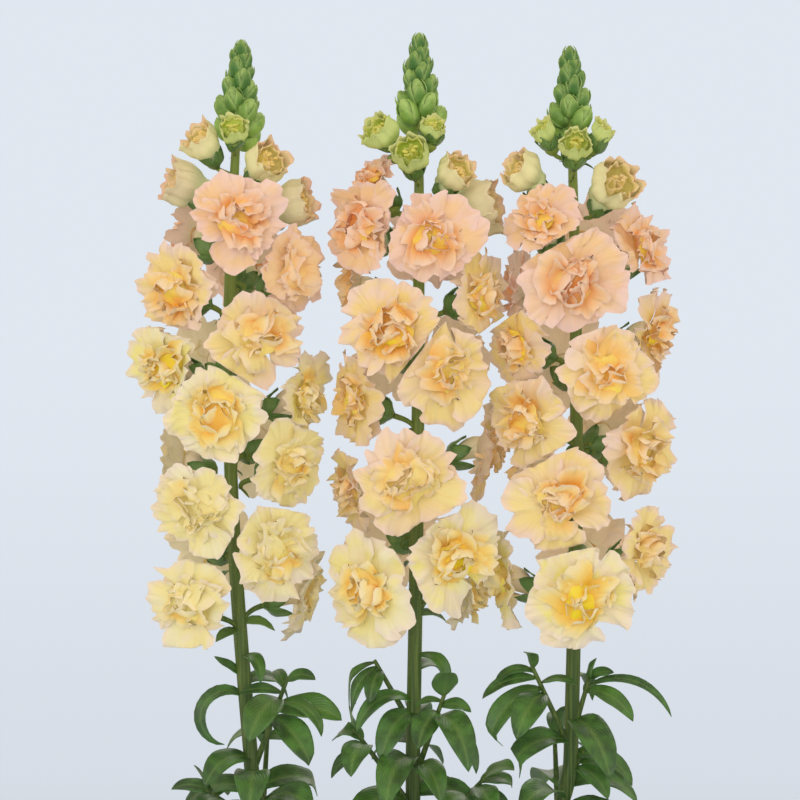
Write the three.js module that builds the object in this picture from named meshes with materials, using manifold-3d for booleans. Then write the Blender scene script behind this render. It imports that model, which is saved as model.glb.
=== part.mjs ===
// A double-flowered snapdragon in a plain pot. Three flowering stems rise from one clump, each with a leafy
// foot, a spike of ruffled double blooms, opening buds above them and a cone of closed green buds at its tip.
// Millimetres, +Z up. The origin is the middle of the pot's underside, and the plant's front looks along -Y.
// Bearings are in degrees round +Z: 0 points to the front (-Y), 90 to the right (+X), 180 to the back.
import * as THREE from "three";
import { mergeVertices } from "three/addons/utils/BufferGeometryUtils.js";
import Module from "manifold-3d";

const wasm = await Module();
wasm.setup();

// ---------------------------------------------------------------- driving dimensions
const POT_HEIGHT = 130;
const POT_FOOT_RADIUS = 57;
const POT_BODY_RADIUS = 75;
const POT_RIM_RADIUS = 79;
const POT_RIM_DEPTH = 22;
const POT_WALL = 3;
const POT_FLOOR = 4;
const POT_SIDES = 24;
const DRAIN_HOLES = 5;
const DRAIN_RADIUS = 5;
const DRAIN_CIRCLE = 40;

const SOIL_TOP = 117;
const SOIL_BUMP = 2.2;
const SOIL_GAP = 1.2;
const SOIL_LIFT = 0.4;
const FINEST_EDGE = 0.03;

const STEM_SIDES = 6;
const STEM_FOOT = 84;
const STEM_FOOT_RADIUS = 3.6;
const STEM_FLARE_TOP = 250;
const LEAF_CEILING = 299;
const LEAF_TOP = 298;
const LEAF_FLOOR = 132;
const BLADE_THICKNESS = 0.9;
const SHORT_LEAF = 23;
const UNDERSIDE = [2, 3];
const LEAF_TURN = 42;
const LEAF_BREADTH = 1.12;

const PETAL_POINTS = 10;
const TUBE_LENGTH = 16;
const TUBE_RADIUS = 2;
const NECK_BEND = 26;
const TURN_TO_FRONT = 16;
const SQUEEZE = 3;
const NEIGHBOUR_GAP = 8;
const STEM_CLEARANCE = 1.6;
const BUD_CLEARANCE = 7.5;

const STALK_DROP = 5;
const STALK_RADIUS = 1.7;
const CUP_DEPTH = 3.4;
const CUP_RADIUS = 4.8;
const SEPAL_LENGTH = 9.6;
const SEPAL_SPREAD = 6.2;
const TUBE_START = 1.2;
const OPENING_CUP = 0.8;

// root: where the stem leaves the soil; spread: how far it swings out by the top of its flare;
// bow and lean: how it curves and tilts above that; tip: its height.
const STEMS = {
  left: { root: [-11, 3], spread: -61, bow: -8, lean: -3.6, tip: 574 },
  middle: { root: [1, -5], spread: 0, bow: 1, lean: 2.6, tip: 577 },
  right: { root: [12, 3], spread: 60, bow: 3, lean: -1, tip: 571 },
};

// One row for each open bloom: bearing, height of its face, distance of the face from the stem, how far
// the face looks up (degrees, down if negative), and its width.
const BLOOMS = {
  left: [
    [10, 490, 27, 8, 43],
    [62, 467, 31, 5, 40],
    [-130, 485, 24, 8, 33],
    [-52, 458, 29, -8, 42],
    [30, 437, 28, 0, 46],
    [-65, 425, 30, -10, 42],
    [-10, 404, 29, -5, 44],
    [82, 411, 33, -5, 38],
    [-125, 382, 27, -5, 33],
    [58, 381, 32, -8, 42],
    [-28, 361, 29, -8, 43],
    [42, 343, 29, -10, 43],
    [-46, 320, 29, -4, 41],
    [112, 322, 31, -12, 38],
    [165, 470, 26, 5, 38],
    [-165, 428, 27, 0, 40],
    [150, 392, 28, -5, 40],
    [-155, 345, 28, -10, 40],
  ],
  middle: [
    [-82, 509, 21, 32, 28],
    [-58, 487, 30, 5, 42],
    [13, 482, 27, 5, 43],
    [-108, 461, 30, -8, 36],
    [66, 458, 30, 0, 40],
    [-25, 441, 29, 0, 46],
    [26, 422, 28, -5, 46],
    [-72, 410, 30, -5, 38],
    [-8, 374, 30, -8, 47],
    [-88, 370, 30, -12, 34],
    [104, 388, 31, -12, 38],
    [36, 340, 28, -8, 45],
    [-46, 325, 30, -8, 44],
    [108, 324, 26, -18, 35],
    [168, 482, 26, 5, 38],
    [-160, 434, 27, 0, 40],
    [150, 428, 27, -5, 38],
    [-158, 350, 28, -10, 40],
  ],
  right: [
    [-36, 489, 27, 25, 34],
    [72, 479, 31, 20, 36],
    [-6, 462, 28, 0, 47],
    [-118, 460, 28, 0, 35],
    [84, 440, 34, -8, 40],
    [-66, 434, 29, -10, 35],
    [25, 422, 28, -3, 45],
    [-50, 401, 30, -5, 42],
    [62, 388, 31, -10, 42],
    [-17, 365, 29, -5, 44],
    [72, 343, 32, -5, 38],
    [3, 322, 28, -8, 46],
    [-92, 330, 33, -5, 44],
    [-132, 378, 26, -8, 36],
    [165, 482, 25, 5, 38],
    [-168, 426, 27, 0, 40],
    [148, 394, 28, -5, 40],
    [168, 340, 28, -10, 40],
  ],
};

// Half-open flowers above the blooms: the same columns.
const OPENING = {
  left: [
    [-65, 525, 15, 38, 19],
    [-4, 530, 12, 35, 14],
    [50, 515, 18, 24, 20],
    [-88, 507, 22, 18, 22],
    [88, 498, 27, 12, 22],
  ],
  middle: [
    [-66, 529, 18, 35, 18],
    [-14, 519, 15, 30, 18],
    [28, 531, 12, 45, 12],
    [55, 511, 19, 30, 18],
    [92, 497, 26, 12, 26],
  ],
  right: [
    [3, 523, 14, 32, 15],
    [-75, 512, 23, 28, 19],
    [44, 505, 24, 20, 23],
    [-72, 530, 12, 45, 13],
    [78, 530, 12, 45, 13],
  ],
};

// Closed buds packed round the tip, from the top down.
const BUDS = {
  count: 15, depth: 46, turn: 137.5, shortest: 8, longest: 14, plumpness: 0.42, sides: 5, rise: [84, 52],
};

// Leaves borne on the stem itself: height, bearing, rise at the base, bend along the blade, length, width.
const STEM_LEAVES = {
  left: [
    [276, -88, 42, 215, 46, 8],
    [286, -92, 35, 5, 16, 5],
    [294, 32, 30, 115, 26, 7],
    [240, 2, 40, 125, 40, 16],
    [248, -42, 30, 100, 34, 12],
    [262, 170, 30, 100, 40, 12],
    [282, 130, 40, 120, 30, 9],
    [228, 48, 42, 112, 46, 15],
    [220, -42, 44, 118, 44, 15],
    [232, -95, 40, 105, 40, 12],
  ],
  middle: [
    [274, -60, 35, 118, 38, 8],
    [270, -36, 0, 85, 34, 13],
    [294, 55, 35, 150, 28, 6],
    [248, -20, 25, 100, 48, 16],
    [244, 20, 35, 115, 38, 13],
    [268, 175, 30, 100, 42, 12],
    [288, 140, 35, 120, 32, 9],
    [226, -48, 45, 112, 46, 15],
    [220, 34, 42, 112, 46, 15],
    [232, 88, 36, 100, 34, 12],
  ],
  right: [
    [266, 22, 10, 88, 46, 16],
    [272, -165, 0, 80, 28, 10],
    [256, -58, 25, 95, 42, 13],
    [250, 75, 20, 90, 34, 10],
    [284, 160, 35, 120, 32, 9],
    [230, -32, 44, 112, 46, 15],
    [222, 44, 42, 115, 44, 15],
    [236, 98, 36, 100, 38, 12],
  ],
};

// Side shoots: height and bearing where they leave the stem, length, and rise; then the leaves of the tuft
// at their end, from the lowest up, as bearing, rise, bend, length, width.
const SHOOTS = {
  left: [
    {
      from: [242, 60], length: 47, rise: 67,
      tuft: [
        [38, -15, 45, 34, 14], [82, 20, 55, 32, 14], [62, 25, 115, 30, 7], [-25, 5, 75, 34, 15],
        [-80, 25, 50, 20, 6], [-160, 60, 70, 16, 6], [75, 45, 80, 15, 7],
      ],
    },
    {
      from: [214, -80], length: 38, rise: 34,
      tuft: [
        [-90, 0, 60, 22, 9], [-30, 20, 80, 24, 10], [170, 40, 90, 22, 8], [-100, 40, 70, 20, 8],
        [-60, 75, 30, 14, 6],
      ],
    },
    {
      from: [226, 175], length: 40, rise: 62,
      tuft: [[120, 20, 80, 30, 10], [-130, 20, 80, 30, 10], [180, 60, 60, 18, 7]],
    },
  ],
  middle: [
    {
      from: [262, -80], length: 36, rise: 60,
      tuft: [[-130, 0, 80, 24, 7], [-20, -10, 80, 20, 8], [-60, -20, 70, 26, 6], [-95, -10, 85, 30, 5]],
    },
    {
      from: [238, 50], length: 45, rise: 66,
      tuft: [
        [60, 0, 90, 34, 7], [25, 15, 95, 44, 14], [-30, -5, 65, 26, 12], [88, 25, 70, 15, 7],
        [-85, 20, 60, 13, 4], [10, 70, 40, 15, 12],
      ],
    },
    {
      from: [226, -75], length: 46, rise: 53,
      tuft: [
        [-110, -5, 60, 24, 9], [-20, 20, 95, 28, 13], [-140, 45, 80, 22, 8], [-95, 35, 85, 20, 9],
        [-60, 75, 30, 14, 7],
      ],
    },
    {
      from: [206, 80], length: 49, rise: 47,
      tuft: [
        [-40, 15, 80, 22, 10], [85, 0, 60, 22, 9], [20, 10, 80, 24, 12], [110, 30, 80, 20, 9],
        [60, 50, 70, 18, 11],
      ],
    },
    {
      from: [222, -175], length: 40, rise: 62,
      tuft: [[150, 20, 80, 32, 10], [-140, 20, 80, 32, 10], [180, 60, 60, 18, 7]],
    },
  ],
  right: [
    {
      from: [252, -65], length: 44, rise: 63,
      tuft: [
        [-28, 0, 70, 34, 14], [-62, 0, 85, 40, 11], [60, 30, 60, 20, 5], [-88, 10, 60, 28, 7],
        [-95, 35, 120, 24, 5], [-30, 70, 30, 16, 9],
      ],
    },
    {
      from: [258, 62], length: 29, rise: 72,
      tuft: [
        [150, 30, 80, 22, 8], [60, 5, 70, 28, 9], [88, 30, 100, 46, 5], [70, 80, 20, 12, 7],
        [85, 45, 60, 12, 6],
      ],
    },
    {
      from: [214, 85], length: 42, rise: 67,
      tuft: [[40, 5, 70, 26, 10], [80, 20, 80, 24, 7], [130, 30, 80, 22, 8], [95, 35, 90, 18, 4]],
    },
    {
      from: [224, -178], length: 40, rise: 62,
      tuft: [[140, 20, 80, 30, 10], [-130, 20, 80, 30, 10], [180, 60, 60, 18, 7]],
    },
  ],
};

// How much of the room to the next stem on its right a stem's leaves may fill, low down and high up.
const LEAF_SHARES = { left: [0.38, 0.6], middle: [0.66, 0.4] };
const SHARE_TURNS = [246, 268];

// Lower leaves climb each stem in a regular spiral below the ones listed above.
const OUTWARD = { left: -1, middle: 0, right: 1 };
const CLEAR_OF_NEIGHBOURS = 230;
const FOOT_LEAVES = {
  count: 7, lowest: 150, highest: 234, turn: 137.5, length: 50, width: 16, rise: 38, bend: 88,
};

// A bloom's layers from its throat to its middle: radius as a share of half its width, how far forward of its
// face, how much the two fold to and fro from point to point, and how much they vary by chance.
const BLOOM_LAYERS = [
  { radius: 0.24, forward: -2, fold: [0, 0], vary: [0, 0] },
  { radius: 0.96, forward: 1, fold: [0.07, -1.6], vary: [0.08, 2] },
  { radius: 0.38, forward: 3.6, fold: [0, 0], vary: [0, 0] },
  { radius: 0.57, forward: 11.5, fold: [0.1, 2.2], vary: [0.1, 2] },
  { radius: 0.26, forward: 6, fold: [0.05, 0], vary: [0, 0] },
];
const TUFT_FORWARD = 14;

// ---------------------------------------------------------------- small helpers
const UP = new THREE.Vector3(0, 0, 1);
const NEARLY_UP = new THREE.Vector3(0, 0.001, 1).normalize();
const radians = THREE.MathUtils.degToRad;
const mix = THREE.MathUtils.lerp;
const vec = (x, y, z) => new THREE.Vector3(x, y, z);
const along = (point, axis, distance) => point.clone().addScaledVector(axis, distance);

function seeded(seed) {
  let state = seed >>> 0;
  return () => {
    state = (state + 0x6d2b79f5) >>> 0;
    let t = Math.imul(state ^ (state >>> 15), 1 | state);
    t = (t + Math.imul(t ^ (t >>> 7), 61 | t)) ^ t;
    return ((t ^ (t >>> 14)) >>> 0) / 4294967296;
  };
}

// A unit vector with this bearing, rising by this many degrees.
function heading(bearing, rise = 0) {
  const flat = Math.cos(radians(rise));
  return vec(flat * Math.sin(radians(bearing)), -flat * Math.cos(radians(bearing)), Math.sin(radians(rise)));
}

// The point of a stem's middle line at this height.
function stemPoint(stem, z) {
  const flare = THREE.MathUtils.smoothstep(z, SOIL_TOP, STEM_FLARE_TOP);
  const above = THREE.MathUtils.clamp((z - STEM_FLARE_TOP) / (stem.tip - STEM_FLARE_TOP), 0, 1);
  const x = stem.root[0] + stem.spread * flare + stem.bow * Math.sin(Math.PI * above) + stem.lean * above;
  return vec(x, stem.root[1] * (1 - flare), z);
}

function stemRadius(stem, z) {
  const t = THREE.MathUtils.clamp((z - SOIL_TOP) / (stem.tip - SOIL_TOP), 0, 1);
  return STEM_FOOT_RADIUS - 1.0 * t - 1.6 * t ** 6;
}

// ---------------------------------------------------------------- solids
// A closed solid of a three.js geometry, with its faces turned outwards.
function solidOf(geometry) {
  const bare = new THREE.BufferGeometry();
  bare.setAttribute("position", geometry.getAttribute("position"));
  if (geometry.index) bare.setIndex(geometry.index);
  const merged = mergeVertices(bare, 1e-4);
  const triVerts = new Uint32Array(merged.index.array);
  const vertProperties = new Float32Array(merged.getAttribute("position").array);
  const made = new wasm.Manifold(new wasm.Mesh({ numProp: 3, vertProperties, triVerts }));
  if (made.volume() > 0) return made;
  for (let i = 0; i < triVerts.length; i += 3) {
    [triVerts[i + 1], triVerts[i + 2]] = [triVerts[i + 2], triVerts[i + 1]];
  }
  return new wasm.Manifold(new wasm.Mesh({ numProp: 3, vertProperties, triVerts }));
}

// Joins pieces into one solid, filling any hollow that the joining seals inside.
function fused(pieces) {
  const bodies = wasm.Manifold.union(pieces).decompose();
  return bodies.reduce((largest, body) => (body.volume() > largest.volume() ? body : largest));
}

// The solid as a geometry, without the slivers that joining and cutting leave behind.
function geometryOf(solid) {
  const mesh = solid.asOriginal().simplify(FINEST_EDGE).getMesh();
  const geometry = new THREE.BufferGeometry();
  geometry.setAttribute("position", new THREE.BufferAttribute(new Float32Array(mesh.vertProperties), 3));
  geometry.setIndex(new THREE.BufferAttribute(new Uint32Array(mesh.triVerts), 1));
  return geometry;
}

// Skins rings of equal size one to the next. Each end closes on a point, or on a fan across its own ring.
// The crossed strips are split along their other diagonal, so that a thin blade's two faces stay level.
function loft(rings, startPoint = null, endPoint = null, crossed = []) {
  const n = rings[0].length;
  const points = rings.flat();
  const faces = [];
  for (let r = 0; r + 1 < rings.length; r++) {
    for (let i = 0; i < n; i++) {
      const a = r * n + i;
      const b = r * n + ((i + 1) % n);
      if (crossed.includes(i)) faces.push(a, b, a + n, b, b + n, a + n);
      else faces.push(a, b, b + n, a, b + n, a + n);
    }
  }
  const last = (rings.length - 1) * n;
  if (startPoint) points.push(startPoint);
  const start = points.length - 1;
  if (endPoint) points.push(endPoint);
  const end = points.length - 1;
  for (let i = 0; i < n; i++) {
    const j = (i + 1) % n;
    if (startPoint) faces.push(start, j, i);
    else if (i > 0 && j > 0) faces.push(0, j, i);
    if (endPoint) faces.push(end, last + i, last + j);
    else if (i > 0 && j > 0) faces.push(last, last + i, last + j);
  }
  return solidOf(new THREE.BufferGeometry().setFromPoints(points).setIndex(faces));
}

// A ring of points round a centre, in the plane across the axis.
function ring(centre, axis, radius, count, phase = 0) {
  const side = new THREE.Vector3().crossVectors(axis, UP).normalize();
  const over = new THREE.Vector3().crossVectors(side, axis);
  return Array.from({ length: count }, (_, i) => {
    const angle = phase + (2 * Math.PI * i) / count;
    return along(along(centre, side, radius * Math.cos(angle)), over, radius * Math.sin(angle));
  });
}

// A cylinder standing on the plane z = low.
function post(x, y, low, high, radius, sides) {
  const geometry = new THREE.CylinderGeometry(radius, radius, high - low, sides);
  geometry.rotateX(Math.PI / 2);
  geometry.translate(x, y, (low + high) / 2);
  return solidOf(geometry);
}

// ---------------------------------------------------------------- room for each flower
// Flowers press against each other as they do on the spike: each keeps to its own side of a plane between
// its face and the next one's, and petals that would cross it are bent back from it.
function squeezed(distance, width) {
  return distance >= width ? distance : (width * width) / (2 * width - distance);
}

// Where a flower stands. One at the side of its stem turns its face a little to the front, to the light.
function flowerPlace(stemName, row, open) {
  const [bearing, height, reach, look, width] = row;
  const stem = STEMS[stemName];
  const axis = heading(bearing - TURN_TO_FRONT * Math.sin(radians(bearing)), look);
  const face = along(stemPoint(stem, height), heading(bearing), reach);
  const tubeLength = open ? TUBE_LENGTH : Math.min(TUBE_LENGTH, reach * 0.62);
  const tubeAxis = heading(bearing, look + NECK_BEND);
  const foot = along(face, tubeAxis, -tubeLength);
  return { stem, stemName, bearing, height, width, open, axis, face, tubeAxis, foot, planes: [] };
}

const flowers = Object.keys(STEMS).flatMap((name) => [
  ...BLOOMS[name].map((row) => flowerPlace(name, row, true)),
  ...OPENING[name].map((row) => flowerPlace(name, row, false)),
]);

for (const one of flowers) {
  for (const other of flowers) {
    if (one === other) continue;
    const away = other.face.clone().sub(one.face);
    const apart = away.length();
    if (apart > (one.width + other.width) / 2 + NEIGHBOUR_GAP) continue;
    away.normalize();
    const share = one.width / (one.width + other.width);
    one.planes.push({ normal: away, at: along(one.face, away, apart * share) });
  }
}

function keepClear(point, flower) {
  for (const { normal, at } of flower.planes) {
    const distance = at.clone().sub(point).dot(normal);
    point.addScaledVector(normal, distance - squeezed(distance, SQUEEZE));
  }
  const lift = point.z - LEAF_CEILING;
  point.z = LEAF_CEILING + squeezed(lift, 2);
  return point;
}

// Holds petals off the stem, and off the cone of buds above.
function keepOffStem(point, flower) {
  const middle = stemPoint(flower.stem, point.z);
  const coneFoot = flower.stem.tip - BUDS.depth;
  const inCone = THREE.MathUtils.smoothstep(point.z, coneFoot - 26, coneFoot - 4);
  const bare = stemRadius(flower.stem, point.z) + STEM_CLEARANCE + BUD_CLEARANCE * inCone;
  const out = vec(point.x - middle.x, point.y - middle.y, 0);
  const distance = out.length();
  const wanted = bare + squeezed(distance - bare, 2);
  point.addScaledVector(out.normalize(), wanted - distance);
  return point;
}

// ---------------------------------------------------------------- flowers
// A double bloom: the tube, the wide skirt of five outer lobes, the ring of upright ruffled petals inside it
// and the crumpled tuft at the middle, as one skin that folds back and forth from layer to layer.
function bloomSolid(flower, seed) {
  const random = seeded(seed);
  const half = flower.width / 2;
  const phase = random() * Math.PI * 2;
  const side = new THREE.Vector3().crossVectors(flower.axis, UP).normalize();
  const over = new THREE.Vector3().crossVectors(side, flower.axis);
  const at = (angle, radius, forward) => {
    const rim = along(along(flower.face, side, radius * Math.cos(angle)), over, radius * Math.sin(angle));
    return rim.addScaledVector(flower.axis, forward);
  };
  const layers = BLOOM_LAYERS.map(({ radius, forward, fold, vary }) =>
    Array.from({ length: PETAL_POINTS }, (_, i) => {
      const sign = i % 2 ? 1 : -1;
      const out = half * (radius + fold[0] * sign + vary[0] * (random() - 0.5));
      const ahead = forward + fold[1] * sign + vary[1] * (random() - 0.5);
      return at(phase + (2 * Math.PI * i) / PETAL_POINTS, out, ahead);
    }));
  const tubeMiddle = along(flower.foot, flower.tubeAxis, TUBE_START);
  const tubeFoot = ring(tubeMiddle, flower.tubeAxis, TUBE_RADIUS, PETAL_POINTS, phase);
  const rings = [tubeFoot, ...layers];
  for (const points of rings) points.forEach((p) => keepOffStem(keepClear(p, flower), flower));
  return loft(rings, null, keepClear(at(phase, 1.5, TUFT_FORWARD), flower));
}

// The green cup behind a flower, with five pointed sepals, on the stalk that carries it from the stem.
function calyxSolid(flower) {
  const { stem, tubeAxis } = flower;
  const size = flower.open ? 1 : OPENING_CUP;
  const level = flower.foot.z - STALK_DROP;
  const start = along(stemPoint(stem, level), heading(flower.bearing), -0.6 * stemRadius(stem, level));
  const low = along(flower.foot, tubeAxis, -CUP_DEPTH);
  const stalk = ring(low, tubeAxis, STALK_RADIUS, 5);
  const notches = ring(along(low, tubeAxis, CUP_DEPTH), tubeAxis, CUP_RADIUS * size, 5);
  const tips = ring(along(low, tubeAxis, SEPAL_LENGTH * size), tubeAxis, SEPAL_SPREAD * size, 5, Math.PI / 5);
  const rim = notches.flatMap((notch, i) => [notch, tips[i]]);
  const points = [start, ...stalk, ...rim, along(low, tubeAxis, 1)];
  points.slice(1).forEach((p) => keepClear(p, flower));
  const faces = [];
  for (let i = 0; i < 5; i++) {
    const j = (i + 1) % 5;
    faces.push(0, 1 + j, 1 + i);
    faces.push(1 + i, 7 + 2 * i, 6 + 2 * i, 1 + i, 1 + j, 7 + 2 * i, 1 + j, 6 + 2 * j, 7 + 2 * i);
  }
  for (let i = 0; i < 10; i++) faces.push(16, 6 + i, 6 + ((i + 1) % 10));
  return solidOf(new THREE.BufferGeometry().setFromPoints(points).setIndex(faces));
}

// A half-open flower: a tube that stands in its cup, widens to a crimped mouth, and dips into the mouth.
function openingSolid(flower, seed) {
  const random = seeded(seed);
  const { face, axis, tubeAxis } = flower;
  const mouth = flower.width / 2;
  const rim = along(face, axis, mouth * 0.6);
  const rings = [
    ring(along(face, axis, -mouth * 0.2), axis, mouth * 0.86, 10),
    ring(rim, axis, mouth, 10).map((p, i) =>
      p.lerp(rim, i % 2 ? 0.1 : 0.34).addScaledVector(axis, mouth * 0.3 * random())),
  ];
  rings.flat().forEach((p) => keepClear(p, flower));
  const foot = keepClear(along(flower.foot, tubeAxis, -CUP_DEPTH), flower);
  return loft(rings, foot, keepClear(along(face, axis, mouth * 0.2), flower));
}

// Closed buds round the tip: small pointed ovals that lie closer to the stem and get shorter going up.
function budSolids(stem, seed) {
  const random = seeded(seed);
  return Array.from({ length: BUDS.count }, (_, k) => {
    const t = k / (BUDS.count - 1);
    const length = mix(BUDS.shortest, BUDS.longest, t);
    const z = stem.tip - 6 - (BUDS.depth - 5) * t - length * 0.35;
    const axis = heading(k * BUDS.turn, mix(...BUDS.rise, t) + 6 * (random() - 0.5));
    const base = along(stemPoint(stem, z), heading(k * BUDS.turn), 0.6 + 4 * t);
    const belly = ring(along(base, axis, length * 0.45), axis, length * BUDS.plumpness, BUDS.sides);
    return loft([belly], along(base, axis, -length * 0.1), along(base, axis, length * 1.05));
  });
}

// ---------------------------------------------------------------- leaves, shoots and stems
// The line between two neighbouring stems that the leaves of neither cross.
function between(a, b, [below, above], z) {
  const share = mix(below, above, THREE.MathUtils.smoothstep(z, ...SHARE_TURNS));
  return mix(stemPoint(a, z).x, stemPoint(b, z).x, share);
}

function keepLeafClear(point, name) {
  point.z = LEAF_TOP - squeezed(LEAF_TOP - point.z, 2);
  point.z = LEAF_FLOOR + squeezed(point.z - LEAF_FLOOR, 4);
  const { left, middle, right } = STEMS;
  if (name !== "right") {
    const line = between(left, middle, LEAF_SHARES.left, point.z);
    const sign = name === "left" ? 1 : -1;
    point.x = line - sign * squeezed(sign * (line - point.x), SQUEEZE);
  }
  if (name !== "left") {
    const line = between(middle, right, LEAF_SHARES.middle, point.z);
    const sign = name === "middle" ? 1 : -1;
    point.x = line - sign * squeezed(sign * (line - point.x), SQUEEZE);
  }
  return point;
}

// A lance-shaped blade, folded along its midrib and arching over along its length; one that grows sideways
// turns its face to the front. Its sections run from the left edge over the rib's top to the right edge and
// back below, in four strips.
function leafSolid(name, base, [bearing, rise, bend, length, width]) {
  const stations = length < SHORT_LEAF ? [0.35, 0.72] : [0.22, 0.46, 0.78];
  const halfWidths = length < SHORT_LEAF ? [1, 0.72] : [0.8, 1, 0.62];
  const level = heading(bearing + 90);
  const turn = radians(LEAF_TURN * Math.sin(radians(bearing)));
  const rings = [];
  const point = base.clone();
  let before = 0;
  const step = (t) => {
    point.addScaledVector(heading(bearing, rise - bend * ((t + before) / 2)), length * (t - before));
    before = t;
  };
  stations.forEach((t, i) => {
    step(t);
    const upright = heading(bearing, rise - bend * t + 90);
    const side = level.clone().multiplyScalar(Math.cos(turn)).addScaledVector(upright, Math.sin(turn));
    const normal = upright.multiplyScalar(Math.cos(turn)).addScaledVector(level, -Math.sin(turn));
    const half = (width / 2) * LEAF_BREADTH * halfWidths[i];
    const edge = 0.22 * half + BLADE_THICKNESS * 0.2;
    const rib = keepLeafClear(point.clone(), name);
    rings.push([
      keepLeafClear(along(along(point, side, -half), normal, edge), name),
      along(rib, normal, BLADE_THICKNESS * 0.3),
      keepLeafClear(along(along(point, side, half), normal, edge), name),
      along(rib, normal, -BLADE_THICKNESS * 0.7),
    ]);
  });
  step(1);
  return loft(rings, base, keepLeafClear(point.clone(), name), UNDERSIDE);
}

function shootSolids(name, { from, length, rise, tuft }) {
  const [height, bearing] = from;
  const root = stemPoint(STEMS[name], height);
  const axis = heading(bearing, rise);
  const end = along(root, axis, length);
  const twigRings = [ring(root, axis, 1.5, 4), ring(end, axis, 1.0, 4)];
  const twig = loft(twigRings.map((points) => points.map((p) => keepLeafClear(p, name))));
  const leaves = tuft.map((leaf, i) => {
    const share = 0.97 - 0.06 * (tuft.length - 1 - i);
    return leafSolid(name, root.clone().lerp(end, share), leaf);
  });
  return [twig, ...leaves];
}

function stemSolid(stem) {
  const heights = [STEM_FOOT, SOIL_TOP, 142, 164, 186, 210, 240, 300, 360, 430, 500, stem.tip - 8];
  const rings = heights.map((z) => ring(stemPoint(stem, z), NEARLY_UP, stemRadius(stem, z), STEM_SIDES));
  return loft(rings, null, stemPoint(stem, stem.tip));
}

// Low down the stems stand close together, so there the leaves turn away from the neighbouring stems.
function footBearing(name, spiral, z) {
  const room = THREE.MathUtils.smoothstep(z, FOOT_LEAVES.lowest, CLEAR_OF_NEIGHBOURS);
  const across = Math.sin(radians(spiral));
  const turned = mix(OUTWARD[name] * Math.abs(across), across, room);
  return THREE.MathUtils.radToDeg(Math.atan2(turned, Math.cos(radians(spiral))));
}

function footLeafSolids(name, seed) {
  const random = seeded(seed);
  const { count, lowest, highest, turn, length, width, rise, bend } = FOOT_LEAVES;
  return Array.from({ length: count }, (_, k) => {
    const size = 0.85 + 0.25 * random();
    const z = mix(lowest, highest, k / (count - 1));
    const bearing = footBearing(name, k * turn + seed, z);
    return leafSolid(name, stemPoint(STEMS[name], z), [bearing, rise, bend, length * size, width * size]);
  });
}

function leafyStem(name, seed) {
  const stem = STEMS[name];
  const mine = flowers.filter((flower) => flower.stemName === name);
  return fused([
    stemSolid(stem),
    ...footLeafSolids(name, seed),
    ...STEM_LEAVES[name].map(([z, ...leaf]) => leafSolid(name, stemPoint(stem, z), leaf)),
    ...SHOOTS[name].flatMap((shoot) => shootSolids(name, shoot)),
    ...mine.map(calyxSolid),
    ...mine.filter((flower) => !flower.open).map((flower, i) => openingSolid(flower, seed + i)),
    ...budSolids(stem, seed),
  ]);
}

// ---------------------------------------------------------------- pot and soil
const POT_NECK = POT_HEIGHT - POT_RIM_DEPTH;

function potSolid() {
  const profile = [
    [0, 0], [POT_FOOT_RADIUS, 0], [POT_BODY_RADIUS, POT_NECK], [POT_RIM_RADIUS - 1, POT_NECK + 1.5],
    [POT_RIM_RADIUS, POT_HEIGHT - 1.5], [POT_RIM_RADIUS - 1.5, POT_HEIGHT],
    [POT_RIM_RADIUS - POT_WALL - 2, POT_HEIGHT], [POT_BODY_RADIUS - POT_WALL, POT_NECK],
    [POT_FOOT_RADIUS - POT_WALL, POT_FLOOR], [0, POT_FLOOR],
  ].map(([r, z]) => new THREE.Vector2(r, z));
  const body = solidOf(new THREE.LatheGeometry(profile, POT_SIDES).rotateX(Math.PI / 2));
  return Array.from({ length: DRAIN_HOLES }, (_, i) => {
    const p = heading((i * 360) / DRAIN_HOLES).multiplyScalar(DRAIN_CIRCLE);
    return post(p.x, p.y, -5, POT_FLOOR + 5, DRAIN_RADIUS, 6);
  }).reduce((pot, hole) => pot.subtract(hole), body);
}

// Potting soil fills the pot to just under its rim, crumbly on top, with a plain hole for each stem.
function soilRadius(z) {
  const inside = z < POT_NECK
    ? mix(POT_FOOT_RADIUS, POT_BODY_RADIUS, (z - POT_FLOOR) / (POT_NECK - POT_FLOOR))
    : mix(POT_BODY_RADIUS, POT_RIM_RADIUS - 2, (z - POT_NECK) / POT_RIM_DEPTH);
  return inside - POT_WALL - SOIL_GAP;
}

function soilSolid() {
  const random = seeded(7);
  const circle = (radius, z, bump) =>
    ring(vec(0, 0, z), NEARLY_UP, radius, POT_SIDES).map((p) => vec(p.x, p.y, z + bump * (random() - 0.5)));
  const low = POT_FLOOR + SOIL_LIFT;
  const shoulder = SOIL_TOP - 2;
  const rings = [
    circle(soilRadius(low), low, 0),
    circle(soilRadius(POT_NECK), POT_NECK, 0),
    circle(soilRadius(shoulder), shoulder, 0.5),
    ...[0.8, 0.55, 0.3].map((share) => circle(share * soilRadius(shoulder), SOIL_TOP, SOIL_BUMP)),
  ];
  return Object.values(STEMS).reduce((soil, { root: [x, y] }) => {
    const hole = post(x, y, STEM_FOOT - 2, SOIL_TOP + 10, STEM_FOOT_RADIUS + 0.7, 10);
    return soil.subtract(hole);
  }, loft(rings, null, vec(0, 0, SOIL_TOP)));
}

// ---------------------------------------------------------------- the plant
const FINISHES = {
  clay: { color: 0xb5694a, roughness: 0.75 },
  soil: { color: 0x3a2a20, roughness: 0.95 },
  green: { color: 0x3f7a32, roughness: 0.55 },
  young: { color: 0xf3b9a0, roughness: 0.6 },
  ripe: { color: 0xf6c98b, roughness: 0.6 },
  old: { color: 0xf7dc8e, roughness: 0.6 },
};
const materials = Object.fromEntries(Object.entries(FINISHES).map(([name, look]) => [
  name, new THREE.MeshStandardMaterial({ ...look, metalness: 0 }),
]));

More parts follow.
